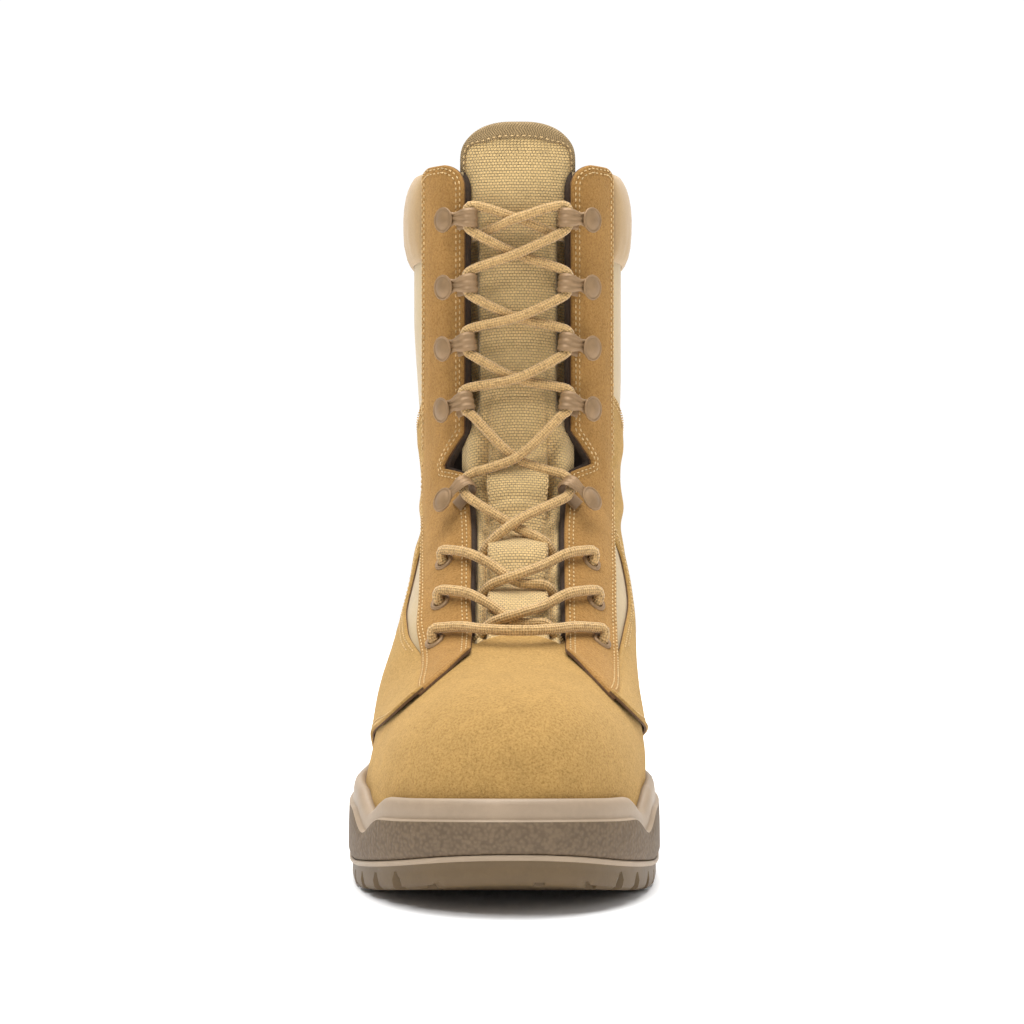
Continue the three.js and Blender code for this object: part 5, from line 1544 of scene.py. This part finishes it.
class BOOT_OT_lace(bpy.types.Operator):
    """Runs the lace through the eyelets and round the hooks, and tucks its ends in at the top"""
    bl_idname = "boot.lace"
    bl_label = "Lace"

    def execute(self, context):
        body = Body()
        radius = sizes().lace_diameter / MM / 2
        left, right = self.strand(LATERAL), self.strand(MEDIAL)
        tube(body, smooth_path(left[::-1] + right), radius, 12)
        nodes = ["lace_bar", "lace_cross_1", "lace_cross_2", "lace_hooked"]
        settle(body.build("braided_lace", [finish("lace")], 60), nodes)
        return {"FINISHED"}

    def through_eyelet(self, side, row):
        """Into an eyelet from above and out under the throat's edge, above it."""
        level, share = EYELET_ROWS[row]
        place, normal, away, third = seat_frame(side, level, share * STAY_HALF, STAY_OUT + 0.25)
        up = third * math.copysign(1.0, third[2])
        z = height(level)
        return [place + normal * 3.6 + up * 2.0 - away * 1.4, place + normal * 1.6 + up * 0.5 + away * 0.2,
                place - normal * 2.5, place - normal * 7.2 + up * 2.5 - away * 3,
                over(side * 20, z + 4.9, -6.6), over(side * 15.5, z + 6.7, -4.4)]

    def strand(self, side):
        """Half of the lace, from the middle of its bottom bar to its end behind a top hook."""
        z = height(EYELET_ROWS[0][0])
        points = [over(side * a, z + rise, lift) for a, rise, lift in
                  ((4, 1.8, 5.4), (12, 2.2, 5.3), (19, 3.0, 5.2), (24.5, 2.8, 5.2))]
        points += self.through_eyelet(side, 0)
        at = side
        for row in (1, 2):
            level, before = height(EYELET_ROWS[row][0]), height(EYELET_ROWS[row - 1][0])
            middle = (before + level) / 2 + 2.4
            points += [over(at * 10.5, before + 8.4, -0.8),
                       over(at * 0.05, middle, 3.4 if at == LATERAL else -0.6),
                       over(-at * 10, level - 0.4, 2.4), over(-at * 16.5, level + 1.5, 4.9),
                       over(-at * 21.5, level + 2.2, 5.6)]
            at = -at
            points += self.through_eyelet(at, row)
        z = height(EYELET_ROWS[2][0])
        points += [over(at * 10.5, z + 9.6, -0.8),
                   over(at * 0.05, z + 14.6, 3.4 if at == LATERAL else -0.6)]
        at = -at
        for row in range(5):
            points.append(at_hook(at, row, -1.0, -0.6, -4.9))
            rises = (-3.4, 0.0, 3.4) if row else (-1.8, 1.8)
            points += [at_hook(at, row, 0.25, 0.0, rise) for rise in rises]
            points.append(at_hook(at, row, -1.0, -0.6, 4.9))
            if row < 4:
                z = (height(HOOK_ROWS[row][0]) + height(HOOK_ROWS[row + 1][0])) / 2
                points.append(over(at * 0.05, z, 4.0 if at == LATERAL else 0.2))
                at = -at
        z = height(HOOK_ROWS[4][0])
        top = at == MEDIAL
        return points + [over(at * 0.05, z + 0.8, 4.2 if top else 0.7), over(-at * 10, z - 3.2, 0.7),
                         over(-at * 15.5, z - 4.8, -2.0), over(-at * 20.0, z - 5.6, -5.0),
                         over(-at * 24.0, z - 6.0, -6.4)]


# ---- Stitches

def stitch_tree(pitch, length, width, material):
    """Stitches along every line of the mesh: short rounded pieces of thread lying in the seam."""
    tree = bpy.data.node_groups.new("stitches_along_seams", "GeometryNodeTree")
    face = tree.interface
    face.new_socket("Seams", in_out="INPUT", socket_type="NodeSocketGeometry")
    inputs = {}
    for label, value in (("Stitch pitch", pitch), ("Stitch length", length), ("Thread width", width)):
        socket = face.new_socket(label, in_out="INPUT", socket_type="NodeSocketFloat")
        socket.default_value = value
        inputs[label] = socket.identifier
    face.new_socket("Stitches", in_out="OUTPUT", socket_type="NodeSocketGeometry")
    start = add(tree, "NodeGroupInput")
    curve = add(tree, "GeometryNodeMeshToCurve", {"Mesh": start.outputs["Seams"]})
    even = add(tree, "GeometryNodeResampleCurve",
               {"Curve": curve.outputs[0], "Length": start.outputs["Stitch pitch"]}, mode="LENGTH")
    normal = add(tree, "GeometryNodeInputNamedAttribute", {"Name": "seam_normal"}, data_type="FLOAT_VECTOR")
    tangent = add(tree, "GeometryNodeInputTangent")
    aligned = add(tree, "FunctionNodeAlignRotationToVector", {"Vector": tangent.outputs[0]}, axis="X")
    turned = add(tree, "FunctionNodeAlignRotationToVector",
                 {"Rotation": aligned.outputs[0], "Vector": normal.outputs[0]}, axis="Z", pivot_axis="X")
    bead = add(tree, "GeometryNodeMeshUVSphere", {"Segments": 6, "Rings": 5, "Radius": 0.5})
    thread = start.outputs["Thread width"]
    size = add(tree, "ShaderNodeCombineXYZ", {0: start.outputs["Stitch length"], 1: thread, 2: thread})
    lie = add(tree, "GeometryNodeInstanceOnPoints", {"Points": even.outputs[0], "Instance": bead.outputs[0],
                                                     "Rotation": turned.outputs[0], "Scale": size.outputs[0]})
    real = add(tree, "GeometryNodeRealizeInstances", {"Geometry": lie.outputs[0]})
    smooth = add(tree, "GeometryNodeSetShadeSmooth", {"Geometry": real.outputs[0]})
    painted = add(tree, "GeometryNodeSetMaterial", {"Geometry": smooth.outputs[0], "Material": material})
    add(tree, "NodeGroupOutput", {0: painted.outputs[0]})
    return tree, inputs


class BOOT_OT_stitches(bpy.types.Operator):
    """Sews every seam that the panels noted, as one mesh of stitches"""
    bl_idname = "boot.stitches"
    bl_label = "Stitches"

    def execute(self, context):
        points, normals, edges = [], [], []
        for line, out in SEAMS:
            start = len(points)
            points += ((line + SHIFT) * MM).tolist()
            normals.append(out)
            edges += [(start + i, start + i + 1) for i in range(len(line) - 1)]
        mesh = bpy.data.meshes.new("seam_lines")
        mesh.from_pydata(points, edges, [])
        stored = mesh.attributes.new("seam_normal", "FLOAT_VECTOR", "POINT")
        stored.data.foreach_set("vector", np.concatenate(normals).astype(np.float32).ravel())
        carrier = bpy.data.objects.new("seam_lines", mesh)
        context.scene.collection.objects.link(carrier)
        s = sizes()
        tree, inputs = stitch_tree(s.stitch_pitch, s.stitch_length, s.thread_width, finish("thread"))
        modifier = carrier.modifiers.new("Stitches", "NODES")
        modifier.node_group = tree
        modifier[inputs["Stitch pitch"]] = s.stitch_pitch
        modifier[inputs["Stitch length"]] = s.stitch_length
        modifier[inputs["Thread width"]] = s.thread_width
        context.view_layer.update()
        done = carrier.evaluated_get(context.evaluated_depsgraph_get())
        sewn = bpy.data.meshes.new_from_object(done)
        bpy.data.objects.remove(carrier)
        piece = bpy.data.objects.new("stitches", sewn)
        context.scene.collection.objects.link(piece)
        settle(piece)
        return {"FINISHED"}


# ---- Stage, in metres

ROOM_WIDTH = 10.0
FLOOR_END = 1.0
BACKDROP_PLACE = 2.2
WORLD_LIGHT = 0.36
LAMPS = [
    # name, place, aimed at, size, power
    ("key", (-0.7, -1.3, 1.8), (0, 0, 0.12), 0.6, 17),
    ("top", (0.0, 0.2, 2.3), (0, 0.2, 0.0), 2.2, 94),
    ("fill", (1.4, -1.0, 0.9), (0, 0, 0.15), 0.9, 4),
]
CAMERA_PLACE = (0.0028, -1.154, 0.180)
CAMERA_LENS = 105.9
CAMERA_DIP = 2.48  # degrees below level


class BOOT_OT_stage(bpy.types.Operator):
    """Sets up the pale floor, the soft studio light and the camera"""
    bl_idname = "boot.stage"
    bl_label = "Stage"

    def execute(self, context):
        scene = context.scene
        paper, tree, shader, spot, _ = new_material("white_studio_paper", Roughness=0.9)
        tint = ramp(tree, noise(tree, spot, 400.0), [(0.0, linear("#fbfbfb")), (1.0, linear("#ffffff"))])
        tree.links.new(tint, shader.inputs["Base Color"])
        half = ROOM_WIDTH / 2
        y = FLOOR_END
        self.plane("studio_floor", [(-half, -half, 0), (half, -half, 0), (half, y, 0), (-half, y, 0)], paper)
        lit, tree, shader, spot, _ = new_material(
            "lit_studio_backdrop", Base_Color=(0.0, 0.0, 0.0, 1.0), Emission_Strength=1.0)
        glow = ramp(tree, noise(tree, spot, 900.0), [(0.0, linear("#fdfdfd")), (1.0, linear("#ffffff"))])
        tree.links.new(glow, shader.inputs["Emission Color"])
        y = BACKDROP_PLACE
        self.plane("studio_backdrop", [(-half, y, -2), (half, y, -2), (half, y, 4), (-half, y, 4)], lit)
        world = bpy.data.worlds.new("studio_world")
        world.use_nodes = True
        background = world.node_tree.nodes["Background"]
        background.inputs["Color"].default_value = (1.0, 1.0, 1.0, 1.0)
        background.inputs["Strength"].default_value = WORLD_LIGHT
        scene.world = world
        for name, place, aim, size, power in LAMPS:
            data = bpy.data.lights.new(name, "AREA")
            data.shape, data.size, data.energy = "SQUARE", size, power
            lamp = bpy.data.objects.new(name, data)
            scene.collection.objects.link(lamp)
            lamp.location = place
            way = Vector(aim) - Vector(place)
            lamp.rotation_euler = way.to_track_quat("-Z", "Y").to_euler()
        camera = bpy.data.cameras.new("camera")
        camera.lens, camera.sensor_width = CAMERA_LENS, 36.0
        holder = bpy.data.objects.new("camera", camera)
        holder.location = CAMERA_PLACE
        holder.rotation_euler = (math.radians(90 - CAMERA_DIP), 0, 0)
        scene.collection.objects.link(holder)
        scene.camera = holder
        scene.view_settings.view_transform = "Standard"
        return {"FINISHED"}

    def plane(self, name, corners, material):
        mesh = bpy.data.meshes.new(name)
        mesh.from_pydata(corners, [], [(0, 1, 2, 3)])
        mesh.materials.append(material)
        piece = bpy.data.objects.new(name, mesh)
        bpy.context.scene.collection.objects.link(piece)


class BOOT_PT_panel(bpy.types.Panel):
    """Lists the boot's pieces and settings"""
    bl_idname = "BOOT_PT_panel"
    bl_label = "Combat boot"
    bl_space_type = "VIEW_3D"
    bl_region_type = "UI"
    bl_category = "Boot"

    def draw(self, context):
        layout = self.layout
        for group in (context.scene.boot_sizes, context.scene.boot_colours):
            column = layout.column(align=True)
            for key in group.__annotations__:
                column.prop(group, key)
        for operator in OPERATORS:
            layout.operator(operator.bl_idname)


OPERATORS = [BOOT_OT_sole, BOOT_OT_shell, BOOT_OT_overlays, BOOT_OT_collar, BOOT_OT_tongue, BOOT_OT_hardware,
             BOOT_OT_lace, BOOT_OT_stitches, BOOT_OT_stage]
CLASSES = [BootSizes, BootColours, *OPERATORS, BOOT_PT_panel]


def register():
    for item in CLASSES:
        bpy.utils.register_class(item)
    bpy.types.Scene.boot_sizes = PointerProperty(type=BootSizes)
    bpy.types.Scene.boot_colours = PointerProperty(type=BootColours)


def unregister():
    del bpy.types.Scene.boot_sizes
    del bpy.types.Scene.boot_colours
    for item in reversed(CLASSES):
        bpy.utils.unregister_class(item)


def main():
    register()
    for operator in OPERATORS:
        getattr(bpy.ops.boot, operator.bl_idname.split(".")[1])()


if __name__ == "__main__":
    main()
